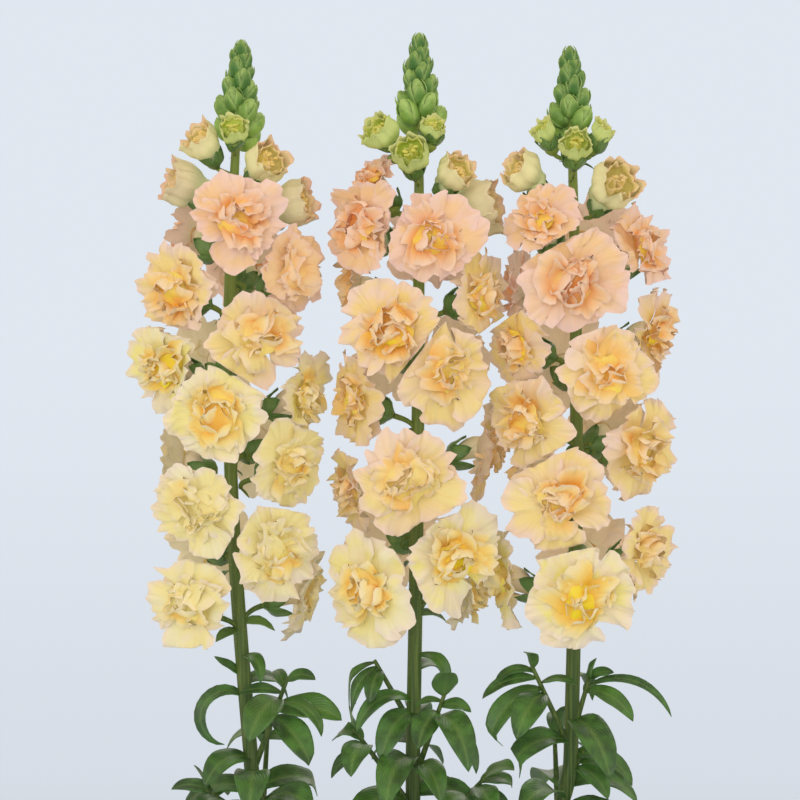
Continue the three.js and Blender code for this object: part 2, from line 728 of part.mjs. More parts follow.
const plant = new THREE.Group();
function addNode(name, solid, finish) {
  const mesh = new THREE.Mesh(geometryOf(solid), materials[finish]);
  mesh.name = name;
  plant.add(mesh);
}

addNode("pot", potSolid(), "clay");
addNode("soil", soilSolid(), "soil");
Object.keys(STEMS).forEach((name, i) => addNode(`${name}_leafy_stem`, leafyStem(name, 40 * i + 11), "green"));

// Blooms open from the bottom of the spike upwards: pink-peach when fresh, apricot, then yellow.
const YOUNG_ABOVE = { left: 465, middle: 465, right: 450 };
const OLD_BELOW = { left: 430, middle: 345, right: 335 };
for (const name of Object.keys(STEMS)) {
  flowers.filter((flower) => flower.open && flower.stemName === name).forEach((flower, i) => {
    const old = flower.height < OLD_BELOW[name];
    const age = flower.height > YOUNG_ABOVE[name] ? "young" : old ? "old" : "ripe";
    const number = String(i + 1).padStart(2, "0");
    addNode(`${name}_bloom_${number}`, bloomSolid(flower, 100 + i), age);
  });
}

export default plant;
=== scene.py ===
import math

import bpy
import numpy as np
from mathutils.bvhtree import BVHTree
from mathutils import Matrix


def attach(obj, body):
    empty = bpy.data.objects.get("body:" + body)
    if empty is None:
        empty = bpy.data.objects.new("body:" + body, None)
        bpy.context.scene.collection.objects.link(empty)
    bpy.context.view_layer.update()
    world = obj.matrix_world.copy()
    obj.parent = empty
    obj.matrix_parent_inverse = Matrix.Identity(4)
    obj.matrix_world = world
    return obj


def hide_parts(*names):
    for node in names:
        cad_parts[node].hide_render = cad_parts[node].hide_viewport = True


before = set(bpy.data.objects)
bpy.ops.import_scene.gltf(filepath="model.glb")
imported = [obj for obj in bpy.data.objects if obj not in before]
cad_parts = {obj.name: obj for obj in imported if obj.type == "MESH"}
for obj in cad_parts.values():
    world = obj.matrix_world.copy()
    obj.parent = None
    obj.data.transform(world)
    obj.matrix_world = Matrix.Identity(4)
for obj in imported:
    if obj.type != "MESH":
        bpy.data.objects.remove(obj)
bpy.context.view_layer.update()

MM = 0.001

# ---------------------------------------------------------------- studio
# The plant stands on a plain pale floor that melts into an even pale surround. A large soft lamp in front of
# it casts shadows, three more fill in from the front and both sides without any, and one stands behind it.
BACKDROP = (0.745, 0.800, 0.868)
BACKDROP_LOW = (0.672, 0.722, 0.788)
SOFT_BOX = (0.86, 0.76, 0.69)
EYE_PLACE = (-0.005, -1.5, 0.410)
EYE_LENS = 150
EYE_SENSOR = 36
FLOOR_REACH = 2.4
FLOOR_SIDES = 64
FLOOR_COLOUR = (0.61, 0.70, 0.79, 1)
# Where each lamp stands, the height it aims at, its width, power and colour, and whether it casts shadows.
LAMPS = {
    "key_light": ((-0.55, -2.3, 0.95), 0.40, 0.9, 7.5, (0.93, 0.97, 0.98), True),
    "fill_light": ((0.3, -2.4, 0.45), 0.40, 0.9, 7.5, (0.93, 0.97, 0.98), False),
    "left_fill": ((-2.1, -1.1, 0.5), 0.40, 0.9, 6.5, (0.97, 0.97, 0.96), False),
    "right_fill": ((2.1, -1.1, 0.5), 0.40, 0.9, 6.5, (0.97, 0.97, 0.96), False),
    "back_light": ((0.5, 1.5, 1.5), 0.42, 1.0, 5, (1.0, 0.99, 0.97), True),
}


class Wire:
    """A socket in a node tree. Sums and products of wires add Math nodes; node() adds any other node."""

    def __init__(self, tree, socket=None):
        self.tree, self.socket = tree, socket

    def node(self, kind, settings=None, inputs=None, output=0):
        made = self.tree.nodes.new(kind)
        for name, value in (settings or {}).items():
            setattr(made, name, value)
        for name, value in (inputs or {}).items():
            if isinstance(value, Wire):
                self.tree.links.new(value.socket, made.inputs[name])
            else:
                made.inputs[name].default_value = value
        return Wire(self.tree, made.outputs[output] if len(made.outputs) else None)

    def maths(self, operation, *values, clamp=False):
        settings = {"operation": operation, "use_clamp": clamp}
        return self.node("ShaderNodeMath", settings, dict(enumerate(values)))

    def __add__(self, other):
        return self.maths("ADD", self, other)

    def __mul__(self, other):
        return self.maths("MULTIPLY", self, other)

    def __sub__(self, other):
        return self.maths("SUBTRACT", self, other)

    def __rsub__(self, other):
        return self.maths("SUBTRACT", other, self)

    __radd__ = __add__
    __rmul__ = __mul__

    def limited(self):
        return self.maths("ADD", self, 0.0, clamp=True)

    def between(self, low, high):
        """0 below low and 1 above high, smooth between them."""
        inputs = {"Value": self, "From Min": low, "From Max": high}
        return self.node("ShaderNodeMapRange", {"interpolation_type": "SMOOTHSTEP"}, inputs)

    def mixed(self, first, second):
        """first where this is 0 and second where it is 1, for colours."""
        settings = {"data_type": "RGBA", "clamp_factor": True}
        inputs = {0: self, 6: colour_of(first), 7: colour_of(second)}
        return self.node("ShaderNodeMix", settings, inputs, output=2)


def colour_of(value):
    return value if isinstance(value, Wire) else (*value, 1.0)


def paint(text):
    """The linear colour of a written one such as #f3bea5."""
    parts = [int(text[i:i + 2], 16) / 255 for i in (1, 3, 5)]
    return tuple(c / 12.92 if c <= 0.04045 else ((c + 0.055) / 1.055) ** 2.4 for c in parts)


def new_finish(name, **constants):
    """A material, its shader node, and a wire to start its other nodes from."""
    material = bpy.data.materials.new(name)
    material.use_nodes = True
    shader = material.node_tree.nodes["Principled BSDF"]
    for socket, value in constants.items():
        shader.inputs[socket.replace("_", " ")].default_value = value
    return material, shader, Wire(material.node_tree)


def feed(shader, **wires):
    for socket, wire in wires.items():
        wire.tree.links.new(wire.socket, shader.inputs[socket.replace("_", " ")])


def grain(start, scale, detail=2.0, stretch=(1, 1, 1)):
    """Noise from 0 to 1 on the object's own coordinates."""
    place = start.node("ShaderNodeTexCoord", output="Object")
    place = start.node("ShaderNodeMapping", None, {"Vector": place, "Scale": stretch})
    return start.node("ShaderNodeTexNoise", None, {"Vector": place, "Scale": scale, "Detail": detail})


def relief(start, height, distance):
    """A bump of this height map, its full height in metres."""
    return start.node("ShaderNodeBump", None, {"Height": height, "Distance": distance, "Strength": 1.0})


def in_scene(name, data):
    """A new object in the scene, of a mesh, a camera or a lamp."""
    thing = bpy.data.objects.new(name, data)
    scene.collection.objects.link(thing)
    return thing


scene = bpy.context.scene
scene.view_settings.view_transform = "Standard"

lens = bpy.data.cameras.new("eye")
lens.lens, lens.sensor_width = EYE_LENS, EYE_SENSOR
lens.clip_start, lens.clip_end = 0.05, 50
eye = in_scene("eye", lens)
eye.location = EYE_PLACE
eye.rotation_euler = (math.radians(90), 0, 0)
scene.camera = eye

world = bpy.data.worlds.new("surround")
world.use_nodes = True
sky = Wire(world.node_tree)
upwards = sky.node("ShaderNodeTexCoord", output="Generated")
upwards = sky.node("ShaderNodeSeparateXYZ", None, {0: upwards}, output="Z")
seen = upwards.between(-0.13, 0.02).mixed(BACKDROP_LOW, BACKDROP)
even_light = sky.node("ShaderNodeLightPath", output="Is Camera Ray").mixed(SOFT_BOX, seen)
world.node_tree.links.new(even_light.socket, world.node_tree.nodes["Background"].inputs["Color"])
scene.world = world

corners = np.linspace(0, 2 * np.pi, FLOOR_SIDES, endpoint=False)
floor_ring = [(FLOOR_REACH * math.cos(a), FLOOR_REACH * math.sin(a), 0.0) for a in corners]
floor_mesh = bpy.data.meshes.new("studio_floor")
floor_mesh.from_pydata(floor_ring, [], [list(range(FLOOR_SIDES))])
floor = in_scene("studio_floor", floor_mesh)
floor_finish, floor_shader, start = new_finish("pale floor", Roughness=0.9, Base_Color=FLOOR_COLOUR)
place = start.node("ShaderNodeTexCoord", output="Object")
outward = start.node("ShaderNodeVectorMath", {"operation": "LENGTH"}, {0: place}, output="Value")
feed(floor_shader, Alpha=1.0 - outward.between(0.5, 2.3))
floor_mesh.materials.append(floor_finish)

for name, (place, aim_height, width, power, colour, shadows) in LAMPS.items():
    lamp = bpy.data.lights.new(name, "AREA")
    lamp.use_shadow = shadows
    lamp.shape, lamp.size, lamp.energy, lamp.color = "DISK", width, power, colour
    holder = in_scene(name, lamp)
    holder.location = place
    aim = np.subtract((0, 0, aim_height), place)
    holder.rotation_euler = (math.atan2(math.hypot(aim[0], aim[1]), -aim[2]), 0, math.atan2(-aim[0], aim[1]))
    holder.visible_camera = False

# ---------------------------------------------------------------- pot
# A plain moulded nursery pot in terracotta-coloured plastic: a tapered bucket with a deep rim band, and five
# drain holes in its floor. It is turned as one wall, and the holes are cut through it.
POT_PROFILE = [
    (0, 1.4), (50, 1.4), (51.5, 0), (56.2, 0), (57, 0.9), (58.2, 8), (74.2, 103), (74.9, 107.2),
    (75.6, 108.4), (77.4, 109), (78.1, 109.9), (78.9, 127.6), (78.8, 129), (78.0, 129.9), (76.6, 130),
    (75.2, 129.8), (74.2, 129), (73.8, 127), (72.2, 108), (54.8, 6), (53, 4.2), (0, 4),
]
POT_SIDES = 96
POT_EDGE_ANGLE = 50
DRAIN_HOLES = 5
DRAIN_CIRCLE = 40
DRAIN_PROFILE = [(0, -6), (5, -6), (5, 12), (0, 12)]
DRAIN_SIDES = 20


def turned(profile, sides):
    """Points and faces of a profile of (radius, height) turned round Z; it starts and ends on the axis."""
    profile = np.array(profile, float)
    angles = np.linspace(0, 2 * np.pi, sides, endpoint=False)
    middle = profile[1:-1]
    grid = np.stack([
        middle[:, :1] * np.cos(angles), middle[:, :1] * np.sin(angles),
        np.repeat(middle[:, 1:], sides, axis=1)], axis=-1)
    points = [(0, 0, profile[0, 1]), *grid.reshape(-1, 3).tolist(), (0, 0, profile[-1, 1])]
    faces = []
    rows = len(middle)
    for j in range(sides):
        k = (j + 1) % sides
        faces.append((0, 1 + k, 1 + j))
        for i in range(rows - 1):
            a, b = 1 + i * sides, 1 + (i + 1) * sides
            faces.append((a + j, a + k, b + k, b + j))
        last = 1 + (rows - 1) * sides
        faces.append((last + j, last + k, len(points) - 1))
    return points, faces


def solid(name, points, faces):
    """A mesh in metres from points in millimetres."""
    mesh = bpy.data.meshes.new(name)
    mesh.from_pydata((np.array(points) * MM).tolist(), [], faces)
    return mesh


def smooth_faces(mesh):
    """Every face is smooth, apart from the narrow ones along a sheet's edge, which join its two sides."""
    if "marks" not in mesh.attributes:
        return [True] * len(mesh.polygons)
    marks = np.zeros(len(mesh.vertices) * 4, np.float32)
    mesh.attributes["marks"].data.foreach_get("color", marks)
    corners, starts = np.zeros(len(mesh.loops), np.int32), np.zeros(len(mesh.polygons), np.int32)
    mesh.loops.foreach_get("vertex_index", corners)
    mesh.polygons.foreach_get("loop_start", starts)
    behind = marks.reshape(-1, 4)[corners, 2]
    return np.maximum.reduceat(behind, starts) == np.minimum.reduceat(behind, starts)


def finished(name, mesh, finish, nodes):
    """Puts a mesh in the scene as a piece that rides on the plant and stands for these nodes."""
    if finish is not None:
        mesh.materials.clear()
        mesh.materials.append(finish)
    mesh.polygons.foreach_set("use_smooth", smooth_faces(mesh))
    mesh.update()
    piece = in_scene(name, mesh)
    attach(piece, "root")
    if nodes:
        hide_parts(*nodes)
    return piece


def pot_finish():
    finish, shader, start = new_finish("terracotta plastic", Specular_IOR_Level=0.35)
    mottle = grain(start, 26, 4)
    turning = grain(start, 9, 3, (1, 1, 38))
    dust = grain(start, 7, 5).between(0.5, 0.8)
    body = mottle.between(0.3, 0.7).mixed(paint("#a9593c"), paint("#b9694a"))
    body = (dust * 0.35).mixed(body, paint("#c99a80"))
    feed(shader, Base_Color=body, Roughness=0.52 + 0.2 * mottle)
    feed(shader, Normal=relief(start, turning + 0.4 * grain(start, 600, 2), 0.0004))
    return finish


whole_pot = in_scene("whole_pot", solid("nursery_pot", *turned(POT_PROFILE, POT_SIDES)))
drill_points, drill_faces = [], []
for hole in range(DRAIN_HOLES):
    bearing = math.radians(hole * 360 / DRAIN_HOLES)
    points, faces = turned(DRAIN_PROFILE, DRAIN_SIDES)
    middle = np.array([DRAIN_CIRCLE * math.sin(bearing), -DRAIN_CIRCLE * math.cos(bearing), 0])
    drill_faces += [tuple(v + len(drill_points) for v in face) for face in faces]
    drill_points += (np.array(points) + middle).tolist()
drill = in_scene("drill", solid("drill", drill_points, drill_faces))
cut = whole_pot.modifiers.new("drain holes", "BOOLEAN")
cut.operation, cut.object, cut.solver = "DIFFERENCE", drill, "EXACT"
bored = bpy.data.meshes.new_from_object(whole_pot.evaluated_get(bpy.context.evaluated_depsgraph_get()))
bpy.data.objects.remove(whole_pot)
bpy.data.objects.remove(drill)
bored.name = "bored_pot"
nursery_pot = finished("nursery_pot", bored, pot_finish(), ["pot"])
nursery_pot.data.set_sharp_from_angle(angle=math.radians(POT_EDGE_ANGLE))

# ---------------------------------------------------------------- soil
# Dark moist potting soil of bark, peat and wood fibre fills the pot to just under its rim. Its top is uneven;
# loose crumbs and a few pale grains lie on it, scattered by node tree.
SOIL_TOP = 117
SOIL_REACH = 70.4
SOIL_WALL = [(0, 4.4), (52.4, 4.4), (70.8, 108), (SOIL_REACH, 115)]
SOIL_CROWN = (116.4, 116.6)
SOIL_RINGS = 22
SOIL_SIDES = 72
SOIL_SEED = 7
SOIL_WAVES = 14
# What a random angle in radians is drawn from.
ANY_TURN = (0, 6.3)
# The least upward part of the normal of a face with crumbs on it, and how rough and how turned they are.
STEEPEST = 0.5
WOBBLE = 0.28
FULL_TURN = 6.28
CRUMBS = {"Spacing": 0.0023, "Per Square Metre": 150000.0, "Smallest": 0.0007, "Largest": 0.0019}
GRAINS = {"Spacing": 0.006, "Per Square Metre": 8000.0, "Smallest": 0.0007, "Largest": 0.0014}


def soil_finish(name, dark, light, bits):
    finish, shader, start = new_finish(name, Specular_IOR_Level=0.3)
    lumps = grain(start, 420, 4)
    fibres = grain(start, 190, 3, (1, 3, 1)).between(0.62, 0.72)
    body = lumps.between(0.35, 0.7).mixed(paint(dark), paint(light))
    body = (fibres * 0.6).mixed(body, paint(bits))
    feed(shader, Base_Color=body, Roughness=0.72 + 0.2 * lumps)
    feed(shader, Normal=relief(start, grain(start, 900, 3), 0.0006))
    return finish


def lumpy(x, y, waves):
    """The height of an uneven surface, from a table of waves."""
    return sum(size * np.sin(kx * x + ky * y + turn) for kx, ky, turn, size in waves)


soil_random = np.random.default_rng(SOIL_SEED)
soil_lumps = [
    (*soil_random.uniform(-0.35, 0.35, 2), soil_random.uniform(*ANY_TURN), soil_random.uniform(0.15, 0.32))
    for _ in range(SOIL_WAVES)]
shares = np.linspace(1, 0.045, SOIL_RINGS)
crown = [(SOIL_REACH * share, SOIL_CROWN[0]) for share in shares] + [(0, SOIL_CROWN[1])]
soil_points, soil_faces = turned(SOIL_WALL + crown, SOIL_SIDES)
soil_points = np.array(soil_points)
top = soil_points[:, 2] > (SOIL_WALL[-1][1] + SOIL_CROWN[0]) / 2
soil_points[top, 2] += lumpy(soil_points[top, 0], soil_points[top, 1], soil_lumps)
soil_dark = soil_finish("potting soil", "#1d130d", "#3a281c", "#6b4a30")
soil_mesh = solid("potting_soil", soil_points, soil_faces)
potting_soil = finished("potting_soil", soil_mesh, soil_dark, ["soil"])


def new_tree(name, sizes):
    """A wire to start the nodes of a piece's geometry from, and the tree's inputs by name."""
    tree = bpy.data.node_groups.new(name, "GeometryNodeTree")
    tree.interface.new_socket("Geometry", in_out="INPUT", socket_type="NodeSocketGeometry")
    tree.interface.new_socket("Geometry", in_out="OUTPUT", socket_type="NodeSocketGeometry")
    for label in sizes:
        tree.interface.new_socket(label, in_out="INPUT", socket_type="NodeSocketFloat")
    given = tree.nodes.new("NodeGroupInput")
    return Wire(tree), {label: Wire(tree, given.outputs[label]) for label in ("Geometry", *sizes)}


def spots_on(flow, given, chosen, seed):
    """Points strewn over the chosen faces of a piece."""
    return flow.node("GeometryNodeDistributePointsOnFaces", {"distribute_method": "POISSON"}, {
        "Mesh": given["Geometry"], "Selection": chosen, "Distance Min": given["Spacing"],
        "Density Max": given["Per Square Metre"], "Seed": seed})


def strewn(name, ground, sizes, finish, flow, copies):
    """Ends a tree: copies of a shape at their spots, made real, in their material, as a plain mesh."""
    placed = flow.node("GeometryNodeInstanceOnPoints", None, copies)
    real = flow.node("GeometryNodeRealizeInstances", None, {"Geometry": placed})
    covered = flow.node("GeometryNodeSetMaterial", None, {"Geometry": real, "Material": finish})
    result = flow.tree.nodes.new("NodeGroupOutput")
    flow.tree.links.new(covered.socket, result.inputs["Geometry"])
    return grown(name, ground, flow.tree, sizes)


def scattered(name, ground, finish, sizes, seed, shape_seed, flatness):
    """Crumbs on the upward faces of a piece."""
    flow, given = new_tree(name, sizes)
    steep = flow.node("ShaderNodeSeparateXYZ", None, {0: flow.node("GeometryNodeInputNormal")}, output="Z")
    upward = flow.node("FunctionNodeCompare", {"operation": "GREATER_THAN"}, {0: steep, 1: STEEPEST})
    ball = flow.node("GeometryNodeMeshIcoSphere", None, {"Radius": 1.0, "Subdivisions": 1})
    wobble = flow.node("FunctionNodeRandomValue", {"data_type": "FLOAT_VECTOR"}, {
        0: (-WOBBLE,) * 3, 1: (WOBBLE,) * 3, "Seed": shape_seed})
    crumb = flow.node("GeometryNodeSetPosition", None, {"Geometry": ball, "Offset": wobble})
    turn = flow.node("FunctionNodeRandomValue", {"data_type": "FLOAT_VECTOR"}, {
        0: (0.0,) * 3, 1: (FULL_TURN,) * 3, "Seed": seed + 1})
    size = flow.node("FunctionNodeRandomValue", {"data_type": "FLOAT"}, {
        2: given["Smallest"], 3: given["Largest"], "Seed": seed + 2}, output=1)
    stretch = flow.node("ShaderNodeCombineXYZ", None, {"X": size, "Y": size * 0.8, "Z": size * flatness})
    return strewn(name, ground, sizes, finish, flow, {
        "Points": spots_on(flow, given, upward, seed), "Instance": crumb, "Rotation": turn, "Scale": stretch})


def grown(name, ground, tree, sizes):
    """Runs a node tree on a copy of a piece and gives the result as a plain mesh."""
    carrier = in_scene(name + "_carrier", ground.data.copy())
    modifier = carrier.modifiers.new("grow", "NODES")
    modifier.node_group = tree
    for item in tree.interface.items_tree:
        if item.in_out == "INPUT" and item.name in sizes:
            modifier[item.identifier] = sizes[item.name]
    bpy.context.view_layer.update()
    graph = bpy.context.evaluated_depsgraph_get()
    mesh = bpy.data.meshes.new_from_object(carrier.evaluated_get(graph), depsgraph=graph)
    carrier.modifiers.remove(modifier)
    bpy.data.objects.remove(carrier)
    mesh.name = name
    return mesh


# The colours of each kind of crumb, its sizes, the seeds of its places and of its shape, and its flatness.
LITTER = {
    "soil_crumbs": (("bark crumbs", "#20150e", "#4a3323", "#7a5638"), CRUMBS, 11, 3, 0.6),
    "pale_grains": (("pale grains", "#b9b2a4", "#d8d2c6", "#a09684"), GRAINS, 23, 5, 0.8),
}
for name, (colours, sizes, seed, shape_seed, flatness) in LITTER.items():
    mesh = scattered(name, potting_soil, soil_finish(*colours), sizes, seed, shape_seed, flatness)
    finished(name, mesh, None, ["soil"])

# ---------------------------------------------------------------- stems
# Three ribbed green stems swing out from one clump and stand upright side by side, paler and more olive
# towards their tips. Each is drawn as one tapered tube along its own middle line.
STEM_FOOT = 88
STEM_FOOT_RADIUS = 3.6
STEM_FLARE_TOP = 250
STEM_END_RADIUS = 0.4
STEM_SIDES = 30
STEM_RIBS = 5
STEM_RIB_DEPTH = 0.05
# The first and last height of the rings of a stem, and how many, below and above the flare's top. The last
# height of the upper ones counts from the tip.
LOW_RINGS = (STEM_FOOT, STEM_FLARE_TOP, 40)
HIGH_RINGS = (256, -2, 70)
STEMS = {
    "left": {"root": (-11, 3), "spread": -61, "bow": -8, "lean": -3.6, "tip": 574},
    "middle": {"root": (1, -5), "spread": 0, "bow": 1, "lean": 2.6, "tip": 577},
    "right": {"root": (12, 3), "spread": 60, "bow": 3, "lean": -1, "tip": 571},
}
UP = np.array([0.0, 0.0, 1.0])


def mix(a, b, t):
    return a + (b - a) * t


def smooth(value, low, high):
    t = np.clip((value - low) / (high - low), 0, 1)
    return t * t * (3 - 2 * t)


def heading(bearing, rise=0.0):
    """A unit vector: bearing 0 looks to the front, 90 to the right; rise is in degrees above level."""
    b, r = np.radians(bearing), np.radians(rise)
    return np.stack(np.broadcast_arrays(np.cos(r) * np.sin(b), -np.cos(r) * np.cos(b), np.sin(r)), axis=-1)


def stem_point(stem, z):
    z = np.asarray(z, float)
    flare = smooth(z, SOIL_TOP, STEM_FLARE_TOP)
    above = np.clip((z - STEM_FLARE_TOP) / (stem["tip"] - STEM_FLARE_TOP), 0, 1)
    x = stem["root"][0] + stem["spread"] * flare + stem["bow"] * np.sin(np.pi * above) + stem["lean"] * above
    return np.stack([x, stem["root"][1] * (1 - flare), z], axis=-1)


def stem_radius(stem, z):
    t = np.clip((z - SOIL_TOP) / (stem["tip"] - SOIL_TOP), 0, 1)
    return STEM_FOOT_RADIUS - 1.0 * t - 1.6 * t ** 6


def unit(vectors):
    return vectors / np.maximum(np.linalg.norm(vectors, axis=-1, keepdims=True), 1e-9)


def frames_along(line):
    """Two directions across a line at each of its points, turning as little as they can."""
    ahead = unit(np.gradient(line, axis=0))
    side = np.cross(ahead[0], UP if abs(ahead[0][2]) < 0.9 else np.array([0.0, 1.0, 0.0]))
    sides = []
    for direction in ahead:
        side = unit(side - direction * np.dot(side, direction))
        sides.append(side)
    sides = np.array(sides)
    return sides, np.cross(ahead, sides)


def tube(line, radii, sides, ribs=0, rib_depth=0.0, marks=None):
    """A tube along a line, closed at both ends. Ribs run along it."""
    side, over = frames_along(line)
    angles = np.linspace(0, 2 * np.pi, sides, endpoint=False)
    ribbed = 1 + rib_depth * np.cos(ribs * angles)
    around = (side[:, None, :] * np.cos(angles)[None, :, None]
              + over[:, None, :] * np.sin(angles)[None, :, None])
    points = line[:, None, :] + around * (np.asarray(radii)[:, None, None] * ribbed[None, :, None])
    return closed_rings(points, marks)


def closed_rings(points, marks=None):
    """One part of a piece: rings skinned one to the next, each end closed by a point at its middle."""
    rows, sides, _ = points.shape
    if marks is None:
        marks = np.zeros((rows, sides, 4))
    index = np.arange(rows * sides).reshape(rows, sides)
    after = np.roll(index, -1, axis=1)
    quads = np.stack([index[:-1], after[:-1], after[1:], index[1:]], axis=-1).reshape(-1, 4)
    low, high = rows * sides, rows * sides + 1
    caps = [(low, b, a) for a, b in zip(index[0], after[0])]
    caps += [(high, a, b) for a, b in zip(index[-1], after[-1])]
    flat = np.concatenate([points.reshape(-1, 3), [points[0].mean(0)], [points[-1].mean(0)]])
    flat_marks = np.concatenate([marks.reshape(-1, 4), [marks[0].mean(0)], [marks[-1].mean(0)]])
    along, around = np.meshgrid(np.linspace(0, 1, rows), np.linspace(0, 1, sides), indexing="ij")
    chart = np.concatenate([np.stack([around, along], -1).reshape(-1, 2), [[0, 0]], [[0, 1]]])
    return flat, quads.tolist() + caps, flat_marks, chart


def shell(points, thickness, marks, rim_share=0.5):
    """One part of a piece: a grid of points as a thin closed sheet. Its front is the side that the points
    run round anticlockwise on; marks[..., 2] is set to 1 on its back."""
    rows, columns, _ = points.shape
    normal = unit(np.cross(np.gradient(points, axis=1), np.gradient(points, axis=0)))
    across = np.abs(np.linspace(-1, 1, columns))[None, :]
    along = np.linspace(0, 1, rows)[:, None]
    thin = 1 - (1 - rim_share) * np.maximum(across, along) ** 4
    offset = normal * (thin * thickness / 2)[..., None]
    chart = np.stack(np.broadcast_arrays(np.linspace(0, 1, columns)[None, :], along), -1).reshape(-1, 2)
    index = np.arange(rows * columns).reshape(rows, columns)
    back = index + rows * columns
    quads = [
        np.stack([index[:-1, :-1], index[:-1, 1:], index[1:, 1:], index[1:, :-1]], -1),
        np.stack([back[:-1, :-1], back[1:, :-1], back[1:, 1:], back[:-1, 1:]], -1),
        np.stack([index[0, 1:], index[0, :-1], back[0, :-1], back[0, 1:]], -1),
        np.stack([index[-1, :-1], index[-1, 1:], back[-1, 1:], back[-1, :-1]], -1),
        np.stack([index[:-1, 0], index[1:, 0], back[1:, 0], back[:-1, 0]], -1),
        np.stack([index[1:, -1], index[:-1, -1], back[:-1, -1], back[1:, -1]], -1),
    ]
    faces = np.concatenate([q.reshape(-1, 4) for q in quads]).tolist()
    behind = marks.copy()
    behind[..., 2] = 1
    flat_marks = np.concatenate([marks.reshape(-1, 4), behind.reshape(-1, 4)])
    flat = np.concatenate([(points + offset).reshape(-1, 3), (points - offset).reshape(-1, 3)])
    return flat, faces, flat_marks, np.concatenate([chart, chart])


def joined(name, parts):
    """One mesh, in metres, of several parts, with their marks and charts."""
    points, faces, marks, charts, start = [], [], [], [], 0
    for part_points, part_faces, part_marks, part_chart in parts:
        faces += [[v + start for v in face] for face in part_faces]
        start += len(part_points)
        points.append(part_points)
        marks.append(part_marks)
        charts.append(part_chart)
    mesh = solid(name, np.concatenate(points), faces)
    layer = mesh.attributes.new("marks", "FLOAT_COLOR", "POINT")
    layer.data.foreach_set("color", np.concatenate(marks).astype(np.float32).ravel())
    corners = np.zeros(len(mesh.loops), np.int32)
    mesh.loops.foreach_get("vertex_index", corners)
    chart = mesh.uv_layers.new(name="chart")
    chart.data.foreach_set("uv", np.concatenate(charts)[corners].astype(np.float32).ravel())
    return mesh


def stem_piece(name, label, parts, finish):
    """A green piece of one stem, made of these parts."""
    whole = f"{name}_{label}"
    return finished(whole, joined(whole, parts), finish, [f"{name}_leafy_stem"])


def aged(mesh, age):
    """Marks a whole mesh with how far its petals have turned."""
    mesh.attributes.new("age", "FLOAT", "POINT").data.foreach_set("value", [age] * len(mesh.vertices))
    return mesh


def stem_finish():
    finish, shader, start = new_finish("ribbed green stem", Specular_IOR_Level=0.3, Subsurface_Weight=0.08,
                                       Subsurface_Scale=0.002)
    place = start.node("ShaderNodeTexCoord", output="Object")
    height = start.node("ShaderNodeSeparateXYZ", None, {0: place}, output="Z")
    streaks = grain(start, 900, 3, (1, 1, 0.03))
    body = height.between(0.24, 0.52).mixed(paint("#2f4a1a"), paint("#77893a"))
    body = (streaks.between(0.35, 0.75) * 0.35).mixed(body, paint("#8c9c4a"))
    body = (height.between(0.11, 0.17) * -1 + 1).limited().mixed(body, paint("#5a6b3c"))
    feed(shader, Base_Color=body, Roughness=0.42 + 0.18 * streaks)
    feed(shader, Normal=relief(start, streaks, 0.0003))
    return finish


STEM_GREEN = stem_finish()
stem_pieces = {}
for name, stem in STEMS.items():
    start, below_tip, count = HIGH_RINGS
    heights = np.concatenate([np.linspace(*LOW_RINGS), np.linspace(start, stem["tip"] + below_tip, count)])
    radii = stem_radius(stem, heights)
    radii[-1] = STEM_END_RADIUS
    whole_stem = tube(stem_point(stem, heights), radii, STEM_SIDES, STEM_RIBS, STEM_RIB_DEPTH)
    stem_pieces[name] = stem_piece(name, "stem", [whole_stem], STEM_GREEN)

# ---------------------------------------------------------------- leaves
# Lance-shaped satin leaves with a sunken midrib climb the foot of each stem and stand in tufts at the ends
# of short side shoots. Each is a thin blade, folded along its midrib and arching over along its length.
LEAF_CEILING = 299
LEAF_FLOOR = 132
FOOT_LEAVES = {"count": 7, "lowest": 150, "highest": 234, "first": 11, "turn": 137.5, "turn_of_stem": 40,
               "length": 50, "width": 16, "rise": 38, "bend": 88}
LEAF_TURN = 42
LEAF_BREADTH = 1.12
LEAF_THICKNESS = 0.7
LEAF_GRID = (15, 9)
LEAF_SEED = 300
TWIG_RADII = (1.5, 0.9)
TWIG_RINGS = 10
TWIG_SIDES = 10
# The share of the gap to its right that a stem's leaves may fill, below the first of these heights and above
# the second.
LEAF_SHARES = {"left": (0.38, 0.6), "middle": (0.66, 0.4)}
SHARE_HEIGHTS = (246, 268)
OUTWARD = {"left": -1, "middle": 0, "right": 1}
CLEAR_OF_NEIGHBOURS = 230
# Height, bearing, rise at the base, bend along the blade, length, width.
STEM_LEAVES = {
    "left": [
        (276, -88, 42, 215, 46, 8), (286, -92, 35, 5, 16, 5), (294, 32, 30, 115, 26, 7),
        (240, 2, 40, 125, 40, 16), (248, -42, 30, 100, 34, 12), (262, 170, 30, 100, 40, 12),
        (282, 130, 40, 120, 30, 9),
        (228, 48, 42, 112, 46, 15), (220, -42, 44, 118, 44, 15), (232, -95, 40, 105, 40, 12)],
    "middle": [
        (274, -60, 35, 118, 38, 8), (270, -36, 0, 85, 34, 13), (294, 55, 35, 150, 28, 6),
        (248, -20, 25, 100, 48, 16), (244, 20, 35, 115, 38, 13), (268, 175, 30, 100, 42, 12),
        (288, 140, 35, 120, 32, 9), (226, -48, 45, 112, 46, 15), (220, 34, 42, 112, 46, 15),
        (232, 88, 36, 100, 34, 12)],
    "right": [
        (266, 22, 10, 88, 46, 16), (272, -165, 0, 80, 28, 10), (256, -58, 25, 95, 42, 13),
        (250, 75, 20, 90, 34, 10), (284, 160, 35, 120, 32, 9), (230, -32, 44, 112, 46, 15),
        (222, 44, 42, 115, 44, 15), (236, 98, 36, 100, 38, 12)],
}
